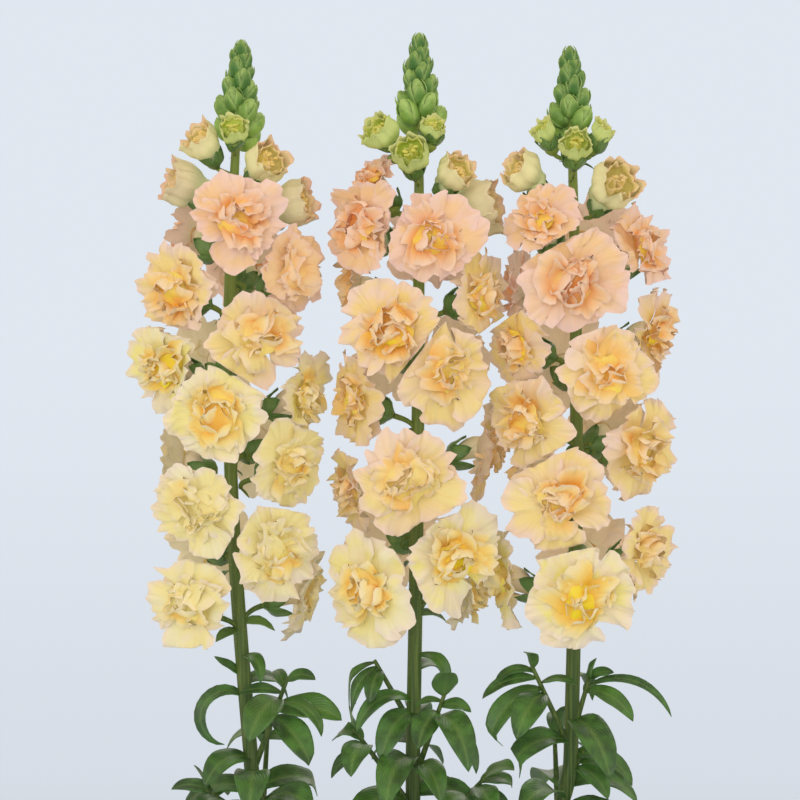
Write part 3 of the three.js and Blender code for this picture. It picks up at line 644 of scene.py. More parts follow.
# Height and bearing where a shoot leaves the stem, its length and rise, then its leaves from the lowest up:
# bearing, rise, bend, length, width.
SHOOTS = {
    "left": [
        ((242, 60), 47, 67, [(38, -15, 45, 34, 14), (82, 20, 55, 32, 14), (62, 25, 115, 30, 7),
                             (-25, 5, 75, 34, 15), (-80, 25, 50, 20, 6), (-160, 60, 70, 16, 6),
                             (75, 45, 80, 15, 7)]),
        ((214, -80), 38, 34, [(-90, 0, 60, 22, 9), (-30, 20, 80, 24, 10), (170, 40, 90, 22, 8),
                              (-100, 40, 70, 20, 8), (-60, 75, 30, 14, 6)]),
        ((226, 175), 40, 62, [(120, 20, 80, 30, 10), (-130, 20, 80, 30, 10), (180, 60, 60, 18, 7)])],
    "middle": [
        ((262, -80), 36, 60, [(-130, 0, 80, 24, 7), (-20, -10, 80, 20, 8), (-60, -20, 70, 26, 6),
                              (-95, -10, 85, 30, 5)]),
        ((238, 50), 45, 66, [(60, 0, 90, 34, 7), (25, 15, 95, 44, 14), (-30, -5, 65, 26, 12),
                             (88, 25, 70, 15, 7), (-85, 20, 60, 13, 4), (10, 70, 40, 15, 12)]),
        ((226, -75), 46, 53, [(-110, -5, 60, 24, 9), (-20, 20, 95, 28, 13), (-140, 45, 80, 22, 8),
                              (-95, 35, 85, 20, 9), (-60, 75, 30, 14, 7)]),
        ((206, 80), 49, 47, [(-40, 15, 80, 22, 10), (85, 0, 60, 22, 9), (20, 10, 80, 24, 12),
                             (110, 30, 80, 20, 9), (60, 50, 70, 18, 11)]),
        ((222, -175), 40, 62, [(150, 20, 80, 32, 10), (-140, 20, 80, 32, 10), (180, 60, 60, 18, 7)])],
    "right": [
        ((252, -65), 44, 63, [(-28, 0, 70, 34, 14), (-62, 0, 85, 40, 11), (60, 30, 60, 20, 5),
                              (-88, 10, 60, 28, 7), (-95, 35, 120, 24, 5), (-30, 70, 30, 16, 9)]),
        ((258, 62), 29, 72, [(150, 30, 80, 22, 8), (60, 5, 70, 28, 9), (88, 30, 100, 46, 5),
                             (70, 80, 20, 12, 7), (85, 45, 60, 12, 6)]),
        ((214, 85), 42, 67, [(40, 5, 70, 26, 10), (80, 20, 80, 24, 7), (130, 30, 80, 22, 8),
                             (95, 35, 90, 18, 4)]),
        ((224, -178), 40, 62, [(140, 20, 80, 30, 10), (-130, 20, 80, 30, 10), (180, 60, 60, 18, 7)])],
}


def squeezed(distance, width):
    """Bends a distance below width back, so that it never falls to nothing."""
    distance = np.asarray(distance, float)
    return np.where(distance >= width, distance, width * width / np.maximum(2 * width - distance, 1e-6))


def keep_leaf_clear(points, name):
    """Holds leaves under the lowest blooms, over the pot, and on their own stem's side."""
    points = points.copy()
    points[..., 2] = LEAF_CEILING - 1 - squeezed(LEAF_CEILING - 1 - points[..., 2], 2)
    points[..., 2] = LEAF_FLOOR + squeezed(points[..., 2] - LEAF_FLOOR, 4)
    for a, b in (("left", "middle"), ("middle", "right")):
        if name not in (a, b):
            continue
        share = mix(*LEAF_SHARES[a], smooth(points[..., 2], *SHARE_HEIGHTS))
        line = mix(*(stem_point(STEMS[side], points[..., 2])[..., 0] for side in (a, b)), share)
        sign = 1 if name == a else -1
        points[..., 0] = line - sign * squeezed(sign * (line - points[..., 0]), 3)
    return points


def sheet(grid):
    """How far along and across the points of a grid of rows and columns lie, and their marks: the first of
    these is the way along, and the others are still 0."""
    rows, columns = grid
    s, t = np.linspace(0, 1, rows)[:, None], np.linspace(-1, 1, columns)[None, :]
    marks = np.zeros((rows, columns, 4))
    marks[..., 0] = s
    return s, t, marks


def leaf(name, base, blade, random, grid=LEAF_GRID):
    """One leaf: stations along an arching line, each a shallow V with a sunken midrib and wavy edges. name is
    the stem that it keeps to, or None for a bract."""
    bearing, rise, bend, length, width = blade
    draw = random.uniform
    s, t, marks = sheet(grid)
    steps = heading(bearing, (rise - bend * (s[1:] + s[:-1]) / 2)[:, 0]) * (length / (len(s) - 1))
    line = np.concatenate([[base], base + np.cumsum(steps, axis=0)])
    line = line + heading(bearing + 90) * (draw(-0.07, 0.07) * length * s ** 2)
    outline = np.clip(2.62 * s ** 0.72 * (1 - s) ** 0.84, 0, 1.05)
    half = width / 2 * LEAF_BREADTH * np.maximum(outline, 0.08 * (1 - s) + 0.012)
    twist = np.radians(LEAF_TURN * math.sin(math.radians(bearing)) + draw(-14, 14) * s)
    ahead = unit(np.gradient(line, axis=0))
    level = unit(heading(bearing + 90) - ahead * (ahead @ heading(bearing + 90))[:, None])
    upright = np.cross(ahead, level)
    across = level * np.cos(twist) + upright * np.sin(twist)
    normal = upright * np.cos(twist) - level * np.sin(twist)
    turn, beat = draw(*ANY_TURN, 2)
    wave = 0.10 * np.sin(7.5 * s + turn) + 0.06 * np.sin(13 * s + beat + np.sign(t))
    lift = (0.26 * np.abs(t) ** 1.3 - 0.05 + wave * t ** 2) * half
    points = (line[:, None, :] + across[:, None, :] * (half * t)[..., None]
              + normal[:, None, :] * lift[..., None])
    marks[..., 1] = np.exp(-(t / 0.16) ** 2)
    marks[..., 3] = draw(0, 1)
    if name is not None:
        points = keep_leaf_clear(points, name)
    return shell(points[:, ::-1], LEAF_THICKNESS, marks, rim_share=0.45)


def marks_of(start):
    """The marks of a surface: how far along a sheet it is, how close to its midrib, seam or fold, 1 on the
    sheet's back, and a number that differs from one sheet to the next."""
    marks = start.node("ShaderNodeAttribute", {"attribute_name": "marks"}, output="Color")
    channels = start.node("ShaderNodeSeparateColor", None, {0: marks})
    sockets = [*channels.socket.node.outputs[:3], marks.socket.node.outputs["Alpha"]]
    return [Wire(start.tree, socket) for socket in sockets]


def leaf_finish(name, dark, light, fresh_green, vein_green):
    """Satin leaves, mottled from dark to light, with slanting veins and a pale midrib."""
    finish, shader, start = new_finish(name, Specular_IOR_Level=0.6, Subsurface_Weight=0.06,
                                       Subsurface_Scale=0.0015, Subsurface_Radius=(0.5, 1.0, 0.2))
    _, midrib, back, fresh = marks_of(start)
    chart = start.node("ShaderNodeUVMap", {"uv_map": "chart"})
    place = start.node("ShaderNodeSeparateXYZ", None, {0: chart}, output="X")
    reach = start.node("ShaderNodeSeparateXYZ", None, {0: chart}, output="Y")
    slant = start.maths("ABSOLUTE", place - 0.5) * -1.1 + reach
    veins = start.maths("SINE", slant * 62.0).between(0.55, 1.0)
    mottle = grain(start, 130, 4)
    body = mottle.between(0.3, 0.75).mixed(paint(dark), paint(light))
    body = (fresh.between(0.55, 1.0) * 0.5).mixed(body, paint(fresh_green))
    body = (veins * 0.16).mixed(body, paint(vein_green))
    body = (midrib * 0.5).mixed(body, paint("#6f8f45"))
    body = (back * 0.5).mixed(body, paint("#55743a"))
    feed(shader, Base_Color=body, Roughness=0.31 + 0.16 * mottle + 0.14 * back)
    feed(shader, Normal=relief(start, 0.6 * veins + 0.5 * mottle, -0.00035))
    return finish


def foot_bearing(name, spiral, z):
    """Low down the stems stand close together, so there the leaves turn away from the neighbouring stems."""
    across = math.sin(math.radians(spiral))
    free = smooth(z, FOOT_LEAVES["lowest"], CLEAR_OF_NEIGHBOURS)
    outward = mix(OUTWARD[name] * abs(across), across, free)
    return math.degrees(math.atan2(outward, math.cos(math.radians(spiral))))


LEAF_GREEN = leaf_finish("satin leaf", "#254a15", "#4c7f2e", "#507d28", "#68904a")
CUP_GREEN = leaf_finish("green cups", "#4b6f2c", "#6a8f45", "#7c9c4c", "#7f9f55")
for number, (name, stem) in enumerate(STEMS.items()):
    random = np.random.default_rng(LEAF_SEED + number)
    leaf_parts, twig_parts = [], []
    for k in range(FOOT_LEAVES["count"]):
        size = random.uniform(0.85, 1.1)
        share = k / (FOOT_LEAVES["count"] - 1)
        base = stem_point(stem, mix(FOOT_LEAVES["lowest"], FOOT_LEAVES["highest"], share))
        spiral = k * FOOT_LEAVES["turn"] + FOOT_LEAVES["turn_of_stem"] * number + FOOT_LEAVES["first"]
        blade = (foot_bearing(name, spiral, base[2]), FOOT_LEAVES["rise"], FOOT_LEAVES["bend"],
                 FOOT_LEAVES["length"] * size, FOOT_LEAVES["width"] * size)
        leaf_parts.append(leaf(name, base, blade, random))
    for z, *blade in STEM_LEAVES[name]:
        leaf_parts.append(leaf(name, stem_point(stem, z), blade, random))
    for (z, bearing), length, rise, tuft in SHOOTS[name]:
        root = stem_point(stem, z)
        end = root + heading(bearing, rise) * length
        share = np.linspace(0, 1, TWIG_RINGS)[:, None]
        line = keep_leaf_clear(mix(root, end, share), name)
        twig_parts.append(tube(line, mix(*TWIG_RADII, share[:, 0]), TWIG_SIDES))
        for i, blade in enumerate(tuft):
            base = mix(root, end, 0.97 - 0.06 * (len(tuft) - 1 - i))
            leaf_parts.append(leaf(name, base, blade, random))
    stem_piece(name, "leaves", leaf_parts, LEAF_GREEN)
    stem_piece(name, "side_shoots", twig_parts, STEM_GREEN)

# ---------------------------------------------------------------- flower places and cups
# Every flower hangs on a short stalk and sits in a green cup of five pointed sepals, with a small bract
# under the stalk. Flowers press against each other, so each keeps to its own side of a plane between two.
TUBE_LENGTH = 16
NECK_BEND = 26
TURN_TO_FRONT = 16
NEIGHBOUR_GAP = 8
BUD_DEPTH = 44
# A half-open flower's tube as a share of its distance from the stem, and the size of its cup and stalk.
CLOSED_TUBE = 0.62
CLOSED_SIZE = 0.82
STALK_DROP = 7
STALK_RISE = 55
STALK_RADII = (1.0, 1.35)
STALK_RINGS = 9
STALK_SIDES = 10
CUP_DEPTH = 3.4
CUP_LENGTH = 4.6
CUP_RADII = [1.3, 2.6, 3.6, 4.1, 4.0, 3.2]
CUP_SIDES = 16
CUP_SEEDS = {"left": 68, "middle": 102, "right": 85}
SEPALS = 5
SEPAL_LENGTH = 11.4
SEPAL_HALF_TURN = 44
SEPAL_THICKNESS = 0.6
SEPAL_GRID = (8, 5)
BRACT_GRID = (7, 5)
# Bracts grow from their least size at the first of these heights to their full size at the second.
BRACT_HEIGHTS = (390, 320)
# Bearing, height of the face, its distance from the stem, how far it looks up, and its width.
BLOOMS = {
    "left": [
        (10, 490, 27, 8, 43), (62, 467, 31, 5, 40), (-130, 485, 24, 8, 33), (-52, 458, 29, -8, 42),
        (30, 437, 28, 0, 46), (-65, 425, 30, -10, 42), (-10, 404, 29, -5, 44), (82, 411, 33, -5, 38),
        (-125, 382, 27, -5, 33), (58, 381, 32, -8, 42), (-28, 361, 29, -8, 43), (42, 343, 29, -10, 43),
        (-46, 320, 29, -4, 41), (112, 322, 31, -12, 38), (165, 470, 26, 5, 38), (-165, 428, 27, 0, 40),
        (150, 392, 28, -5, 40), (-155, 345, 28, -10, 40)],
    "middle": [
        (-82, 509, 21, 32, 28), (-58, 487, 30, 5, 42), (13, 482, 27, 5, 43), (-108, 461, 30, -8, 36),
        (66, 458, 30, 0, 40), (-25, 441, 29, 0, 46), (26, 422, 28, -5, 46), (-72, 410, 30, -5, 38),
        (-8, 374, 30, -8, 47), (-88, 370, 30, -12, 34), (104, 388, 31, -12, 38), (36, 340, 28, -8, 45),
        (-46, 325, 30, -8, 44), (108, 324, 26, -18, 35), (168, 482, 26, 5, 38), (-160, 434, 27, 0, 40),
        (150, 428, 27, -5, 38), (-158, 350, 28, -10, 40)],
    "right": [
        (-36, 489, 27, 25, 34), (72, 479, 31, 20, 36), (-6, 462, 28, 0, 47), (-118, 460, 28, 0, 35),
        (84, 440, 34, -8, 40), (-66, 434, 29, -10, 35), (25, 422, 28, -3, 45), (-50, 401, 30, -5, 42),
        (62, 388, 31, -10, 42), (-17, 365, 29, -5, 44), (72, 343, 32, -5, 38), (3, 322, 28, -8, 46),
        (-92, 330, 33, -5, 44), (-132, 378, 26, -8, 36), (165, 482, 25, 5, 38), (-168, 426, 27, 0, 40),
        (148, 394, 28, -5, 40), (168, 340, 28, -10, 40)],
}
OPENING = {
    "left": [(-65, 525, 15, 38, 19), (-4, 530, 12, 35, 14), (50, 515, 18, 24, 20), (-88, 507, 22, 18, 22),
             (88, 498, 27, 12, 22)],
    "middle": [(-66, 529, 18, 35, 18), (-14, 519, 15, 30, 18), (28, 531, 12, 45, 12), (55, 511, 19, 30, 18),
               (92, 497, 26, 12, 26)],
    "right": [(3, 523, 14, 32, 15), (-75, 512, 23, 28, 19), (44, 505, 24, 20, 23), (-72, 530, 12, 45, 13),
              (78, 530, 12, 45, 13)],
}


def square_to(axis):
    """Two directions square to an axis and to each other; the first is level."""
    side = unit(np.cross(axis, UP))
    return side, np.cross(side, axis)


def flower_place(stem_name, number, row, is_open):
    bearing, height, reach, look, width = row
    stem = STEMS[stem_name]
    axis = heading(bearing - TURN_TO_FRONT * math.sin(math.radians(bearing)), look)
    face = stem_point(stem, height) + heading(bearing) * reach
    tube_length = TUBE_LENGTH if is_open else min(TUBE_LENGTH, reach * CLOSED_TUBE)
    tube_axis = heading(bearing, look + NECK_BEND)
    side, over = square_to(axis)
    return {"stem": stem, "stem_name": stem_name, "number": number, "bearing": bearing, "height": height,
            "half": width / 2, "open": is_open, "axis": axis, "face": face, "tube_axis": tube_axis,
            "foot": face - tube_axis * tube_length, "side": side, "over": over, "planes": []}


flowers = []
for name in STEMS:
    flowers += [flower_place(name, i, row, True) for i, row in enumerate(BLOOMS[name])]
    flowers += [flower_place(name, i, row, False) for i, row in enumerate(OPENING[name])]
for one in flowers:
    for other in flowers:
        away = other["face"] - one["face"]
        apart = np.linalg.norm(away)
        if one is other or apart > one["half"] + other["half"] + NEIGHBOUR_GAP:
            continue
        away = away / apart
        share = one["half"] / (one["half"] + other["half"])
        one["planes"].append((away, one["face"] + away * apart * share))


def keep_clear(points, flower):
    points = points.copy()
    for away, at in flower["planes"]:
        distance = (at - points) @ away
        points += away * (distance - squeezed(distance, 3))[..., None]
    points[..., 2] = LEAF_CEILING + squeezed(points[..., 2] - LEAF_CEILING, 2)
    return points


def keep_off_stem(points, flower):
    """Holds petals off the stem, and off the cone of buds above."""
    stem = flower["stem"]
    middle = stem_point(stem, points[..., 2])
    cone_foot = stem["tip"] - BUD_DEPTH
    cone = smooth(points[..., 2], cone_foot - 26, cone_foot - 4)
    bare = stem_radius(stem, points[..., 2]) + 1.6 + 7.5 * cone
    out = points - middle
    out[..., 2] = 0
    distance = np.linalg.norm(out, axis=-1)
    wanted = bare + squeezed(distance - bare, 2)
    return points + unit(out) * (wanted - distance)[..., None]


def bowed(start, start_way, end, end_way, count, pull=0.4):
    """A smooth line between two points, leaving and arriving along the given directions."""
    span = np.linalg.norm(end - start) * pull
    t = np.linspace(0, 1, count)[:, None]
    a, b = start + start_way * span, end - end_way * span
    return start * (1 - t) ** 3 + 3 * a * t * (1 - t) ** 2 + 3 * b * t * t * (1 - t) + end * t ** 3


def round_line(line, side, over, radius, theta):
    """Points at a distance and an angle round a line; side is at no angle, and over at a quarter turn."""
    return line + side * (radius * np.cos(theta))[..., None] + over * (radius * np.sin(theta))[..., None]


def sepal(flower, low, angle, size, random):
    """One pointed sepal that clasps the foot of the flower's tube."""
    s, t, marks = sheet(SEPAL_GRID)
    tube_axis = flower["tube_axis"]
    length = SEPAL_LENGTH * size * random.uniform(0.9, 1.1)
    radius = size * (1.3 + 4.6 * smooth(s, 0, 0.4) + 0.9 * s + 0.9 * random.uniform(-0.3, 1) * s ** 3)
    half_turn = np.radians(SEPAL_HALF_TURN) * np.minimum(1, 1.25 * (1 - s) ** 0.62) * (1 - 0.15 * s)
    radius = radius * (1 - 0.05 * np.cos(np.pi * t) * s) + 0.35 * t ** 2 * s
    line = low + tube_axis * (length * s)[..., None]
    points = round_line(line, *square_to(tube_axis), radius, angle - t * half_turn)
    marks[..., 1] = 0.7 * np.exp(-(t / 0.2) ** 2)
    marks[..., 3] = random.uniform(0.2, 0.8)
    return shell(keep_clear(points, flower), SEPAL_THICKNESS, marks)


stalk_pieces = {}
for name in STEMS:
    cup_parts, stalk_parts = [], []
    random = np.random.default_rng(CUP_SEEDS[name])
    for flower in flowers:
        if flower["stem_name"] != name:
            continue
        stem, foot, tube_axis, bearing = (flower[part] for part in ("stem", "foot", "tube_axis", "bearing"))
        size = 1.0 if flower["open"] else CLOSED_SIZE
        low = foot - tube_axis * CUP_DEPTH
        level = foot[2] - STALK_DROP
        joint = stem_point(stem, level) + heading(bearing) * (0.5 * stem_radius(stem, level))
        line = bowed(joint, heading(bearing, STALK_RISE), low + tube_axis * 0.8, tube_axis, STALK_RINGS)
        radii = np.linspace(*STALK_RADII, STALK_RINGS) * size
        stalk_parts.append(tube(keep_clear(line, flower), radii, STALK_SIDES))
        cup_line = low + tube_axis * (np.linspace(0, 1, len(CUP_RADII)) * CUP_LENGTH)[:, None]
        stalk_parts.append(tube(cup_line, size * np.array(CUP_RADII), CUP_SIDES))
        for i in range(SEPALS):
            cup_parts.append(sepal(flower, low, 1.57 + i * 2 * np.pi / SEPALS, size, random))
        bract_bearing = bearing + random.uniform(-12, 12)
        low_down = smooth(flower["height"], *BRACT_HEIGHTS)
        length, width = random.uniform(7, 10) + 9 * low_down, random.uniform(3.0, 4.2) + 2 * low_down
        base = stem_point(stem, level - 1.5)
        bract = leaf(None, base, (bract_bearing, 22, 70, length, width), random, BRACT_GRID)
        cup_parts.append((keep_clear(bract[0], flower), *bract[1:]))
    stem_piece(name, "flower_cups", cup_parts, CUP_GREEN)
    stalk_pieces[name] = stem_piece(name, "flower_stalks", stalk_parts, STEM_GREEN)

# ---------------------------------------------------------------- open blooms
# A double bloom is a short tube that opens in a wide skirt of five wavy, finely toothed lobes, and is filled
# with crumpled upright petals. They open pink-peach, turn apricot, and fade to cream and lemon yellow.
PETAL_THICKNESS = 0.3
PETAL_RIM = 0.1
SHINE_THROUGH = 1.6
# Blooms are drawn at this half width and scaled to their own.
DRAWN_HALF = 22
THROAT_RADIUS = 5.6
TUBE_SIDES = 20
TUBE_RIBS = 5
TUBE_RIB_DEPTH = 0.035
TUBE_END = 6.0
TUBE_SWELL = [0.36, 0.5, 0.68, 0.82, 0.92, 0.98, 1.0]
SKIRT_LOBES = 5
SKIRT_GRID = (9, 25)
UPPER_LOBES = 3
UPPER_GRID = (8, 19)
INNER_GRID = (8, 15)
CUSHION_GRID = (7, 31)
BLOOM_SEED = 500
TONE_SEED = 41
# The range of the phase of a wave that doesn't cover the whole turn.
PART_TURN = (0, 6)
# Waves across a lobe or an inner petal: how many, how high, and how fast they grow towards the rim.
LOBE_WAVES = (((0.8, 1.8), 2.2, 1.5), ((2.4, 4.0), 1.7, 2.0), ((5.5, 8.5), 1.4, 2.4))
INNER_WAVES = (((0.6, 1.3), 2.6, 1.1), ((1.6, 2.6), 1.6, 1.5), ((3.5, 5), 0.8, 2.5))
# The lengths and heights of the waves through a whole flower.
CRUMPLES = ((26, 1.5), (15, 0.9), (15, 0.9), (8, 0.5), (8, 0.5))
# The two rings of inner petals: how many, how far out and how far forward they start, their lengths and half
# widths, the share of them that curl in over the middle instead of lying open, and the grid of each.
DOME = [(5, 4.0, -1.0, (11, 14.5), (8, 10.5), 0.55, INNER_GRID),
        (3, 2.2, 2.6, (8.5, 11), (6, 8.5), 0.6, (8, 13))]


def ragged(count, random):
    """Uneven steps along a petal's edge, between -1 and 1."""
    steps = random.uniform(-1, 1, count)
    return (steps + 0.6 * np.roll(steps, 1)) / 1.6


def polar(radius, theta, forward):
    """A grid of (right, up, forward) of points round a flower's axis."""
    return np.stack(np.broadcast_arrays(radius * np.cos(theta), radius * np.sin(theta), forward), -1)


def outer_lobe(half, angle, random, reach, spread, rise=4.2, unruly=1.0, grid=SKIRT_GRID):
    """A broad wavy lobe round the flower's axis: a grid of (right, up, forward) and its marks. reach is its
    rim as a share of half the flower's width, spread half its angle, and rise how far forward it comes."""
    draw = random.uniform
    scale = half / DRAWN_HALF
    s, t, marks = sheet(grid)
    s = s ** 0.85
    theta = angle - t * np.radians(mix(36, draw(*spread), s)) + draw(-0.12, 0.12) * s
    teeth = ragged(grid[1], random) * 0.025
    notch = draw(0.03, 0.2) * np.exp(-((t - draw(-0.6, 0.6)) / 0.13) ** 2)
    rim = half * draw(*reach) * (1 - 0.04 * t ** 2 - 0.3 * np.abs(t) ** 4 - notch * s ** 4)
    frill = (0.045 * np.sin(np.pi * draw(1.5, 3) * t + draw(*PART_TURN))
             + 0.035 * np.sin(np.pi * draw(3.2, 5.2) * t + draw(*PART_TURN)) * s ** 3)
    rim = rim * (1 + teeth[None, :] * s ** 6 + frill)
    throat = THROAT_RADIUS * scale
    radius = throat + (rim - throat) * s ** 0.95
    droop = max(0.0, -math.sin(angle))
    forward = -2.6 + rise * (1 - (1 - s) ** 2) - draw(-0.6, 3.6) * s ** 2 - 1.6 * droop * s ** 2
    forward = forward + draw(-1.6, 1.6) * t * s + draw(-1.2, 1.6) * s
    for waves, size, power in LOBE_WAVES:
        swing = np.sin(np.pi * draw(*waves) * t + draw(*ANY_TURN) + draw(-1, 1) * s)
        forward = forward + unruly * size * s ** power * swing
    marks[..., 0] = s
    marks[..., 1] = smooth(0.5 - s, 0, 0.5)
    return polar(radius, theta, forward * scale), marks


def inner_petal(half, angle, base, length, width, lean, random, crumple=1.0, grid=INNER_GRID):
    """One upright crumpled petal. lean is how far it leans out at its base and at its rim, in degrees."""
    draw = random.uniform
    scale = half / DRAWN_HALF
    s, t, marks = sheet(grid)
    slope = np.radians(mix(*lean, s) + 42 * smooth(s, 0.65, 1.0) * draw(0.1, 1))
    yaw = draw(-0.35, 0.35)
    teeth = ragged(grid[1], random) * 0.05
    tall = length * scale * (1 - 0.16 * np.abs(t) ** 3 + teeth[None, :] * s ** 6
                             + 0.09 * np.sin(np.pi * draw(0.8, 2) * t + draw(*ANY_TURN)))
    step = tall / (len(s) - 1)
    out = np.cumsum(np.sin(slope) * step, axis=0) - np.sin(slope[0]) * step
    ahead = np.cumsum(np.cos(slope) * step, axis=0) - np.cos(slope[0]) * step
    wide = width * scale * (0.32 + 0.68 * smooth(s, -0.1, 0.62)) * (1 - 0.12 * s ** 4)
    roll = np.radians(draw(-35, 35)) * smooth(s, 0, 0.8)
    cup = mix(0.5, draw(-0.15, 0.4), smooth(s, 0.2, 0.95)) * t ** 2 * wide
    fold = 0
    for waves, size, power in INNER_WAVES:
        swing = np.sin(np.pi * draw(*waves) * t + draw(*ANY_TURN) + draw(-1.4, 1.4) * s)
        fold = fold + size * s ** power * swing
    inward = cup + fold * scale * crumple
    sideways = -wide * t * np.cos(roll)
    radial = base * scale + out - inward * np.cos(slope) + wide * t * np.sin(roll)
    forward = -1.8 * scale + ahead + inward * np.sin(slope)
    theta = angle + yaw * s
    right = radial * np.cos(theta) - sideways * np.sin(theta)
    up = radial * np.sin(theta) + sideways * np.cos(theta)
    marks[..., 1] = smooth(0.75 - s, 0, 0.75)
    marks[..., 3] = draw(0.45, 1.0)
    return np.stack([right, up, forward], -1), marks


def softened(mesh, axis):
    """Turns a flower's shading towards its axis. Light that shines through thin petals evens them out so."""
    normals = np.zeros(len(mesh.loops) * 3, np.float32)
    mesh.corner_normals.foreach_get("vector", normals)
    normals = normals.reshape(-1, 3)
    leaning = unit(normals + SHINE_THROUGH * (normals @ axis)[:, None] * axis)
    mesh.normals_split_custom_set(leaning.tolist())


def crumpling(scale, random):
    """A few slow waves through the whole flower, so that petals that lie together fold together."""
    waves = []
    for length, size in CRUMPLES:
        wave = unit(random.normal(size=3)) * 2 * np.pi / (length * scale)
        push = unit(random.normal(size=3)) * size * scale
        waves.append((wave, push, random.uniform(*ANY_TURN)))
    return waves


def crumpled(grid, waves):
    pushed = sum(np.sin(grid @ wave + turn)[..., None] * push for wave, push, turn in waves)
    return grid + pushed


def on_flower(grid, flower):
    """Moves a grid from a flower's own directions to its place on the plant, clear of its neighbours."""
    points = (flower["face"] + flower["side"] * grid[..., :1] + flower["over"] * grid[..., 1:2]
              + flower["axis"] * grid[..., 2:])
    return keep_off_stem(keep_clear(points, flower), flower)


def petal(grid, marks, flower):
    """A thin petal whose front looks along the flower's axis."""
    return shell(on_flower(grid, flower)[:, ::-1], PETAL_THICKNESS, marks[:, ::-1], PETAL_RIM)


def corolla_tube(flower, end_radius, end_forward, radii):
    """The tube between the cup and the petals."""
    start = flower["foot"] - flower["tube_axis"] * 0.6
    end = flower["face"] + flower["axis"] * end_forward
    line = bowed(start, flower["tube_axis"], end, flower["axis"], len(radii), 0.35)
    marks = np.zeros((len(radii), TUBE_SIDES, 4))
    marks[..., 0] = np.linspace(-1, 0, len(radii))[:, None]
    marks[..., 2] = 1
    radii = np.array(radii) * end_radius
    points, faces, marks, chart = tube(line, radii, TUBE_SIDES, TUBE_RIBS, TUBE_RIB_DEPTH, marks)
    return keep_off_stem(keep_clear(points, flower), flower), faces, marks, chart


def cushion(half, random):
    """The crumpled heap of petals that fills the throat: a grid and its marks."""
    rows, columns = CUSHION_GRID
    s = np.linspace(0.03, 1, rows)[:, None]
    theta = -np.linspace(0, 2 * np.pi, columns)[None, :]
    turns = random.uniform(*ANY_TURN, 4)
    folds = (1.5 * np.sin(2 * theta + turns[0]) + 1.2 * np.sin(3 * theta + turns[1] + 2.2 * s)
             + 0.7 * np.sin(7 * theta + turns[2] - 3 * s)) * s
    radius = 9.2 * s * (1 + 0.1 * np.sin(3 * theta + turns[3]))
    marks = np.zeros((rows, columns, 4))
    marks[..., 0] = 0.2 + 0.5 * s
    marks[..., 1] = 0.5 + 0.5 * np.maximum(0, -np.sin(theta))
    marks[..., 3] = 1
    return polar(radius, theta, 5.4 - 4.4 * s ** 2 + folds) * half / DRAWN_HALF, marks


def double_bloom(flower, seed):
    random = np.random.default_rng(seed)
    draw = random.uniform
    half = flower["half"]
    sheets = [cushion(half, random)]
    aside = smooth(abs(flower["bearing"]), 35, 80)
    reach = (0.94 + 0.1 * aside, 1.22 + 0.1 * aside)
    for i in range(SKIRT_LOBES):
        angle = math.radians(-90 + 72 * i + draw(-12, 12))
        sheets.append(outer_lobe(half, angle, random, reach, (43, 54)))
    turn = draw(*ANY_TURN)
    for i in range(UPPER_LOBES):
        angle = turn + i * 2 * math.pi / UPPER_LOBES + draw(-0.4, 0.4)
        lobe, marks = outer_lobe(half, angle, random, (0.56, 0.8), (42, 62), draw(6, 9), 1.2, UPPER_GRID)
        marks[..., 3] = draw(0.2, 0.6)
        sheets.append((lobe, marks))
    for count, base, start, lengths, widths, curling, grid in DOME:
        turn = draw(*ANY_TURN)
        for i in range(count):
            angle = turn + i * 2 * math.pi / count + draw(-0.35, 0.35)
            lean = (draw(50, 72), draw(-75, -35))
            if draw() > curling:
                lean = (draw(24, 44), draw(45, 85))
            length, width = draw(*lengths), draw(*widths)
            inner, marks = inner_petal(half, angle, base, length, width, lean, random, 1.0, grid)
            inner[..., 2] += start * half / DRAWN_HALF
            marks[..., 1] *= 0.45 + 0.55 * max(0.0, -math.sin(angle))
            sheets.append((inner, marks))
    waves = crumpling(half / DRAWN_HALF, random)
    tube_part = corolla_tube(flower, TUBE_END * half / DRAWN_HALF, -2.2, TUBE_SWELL)
    return [tube_part, *(petal(crumpled(grid, waves), marks, flower) for grid, marks in sheets)]


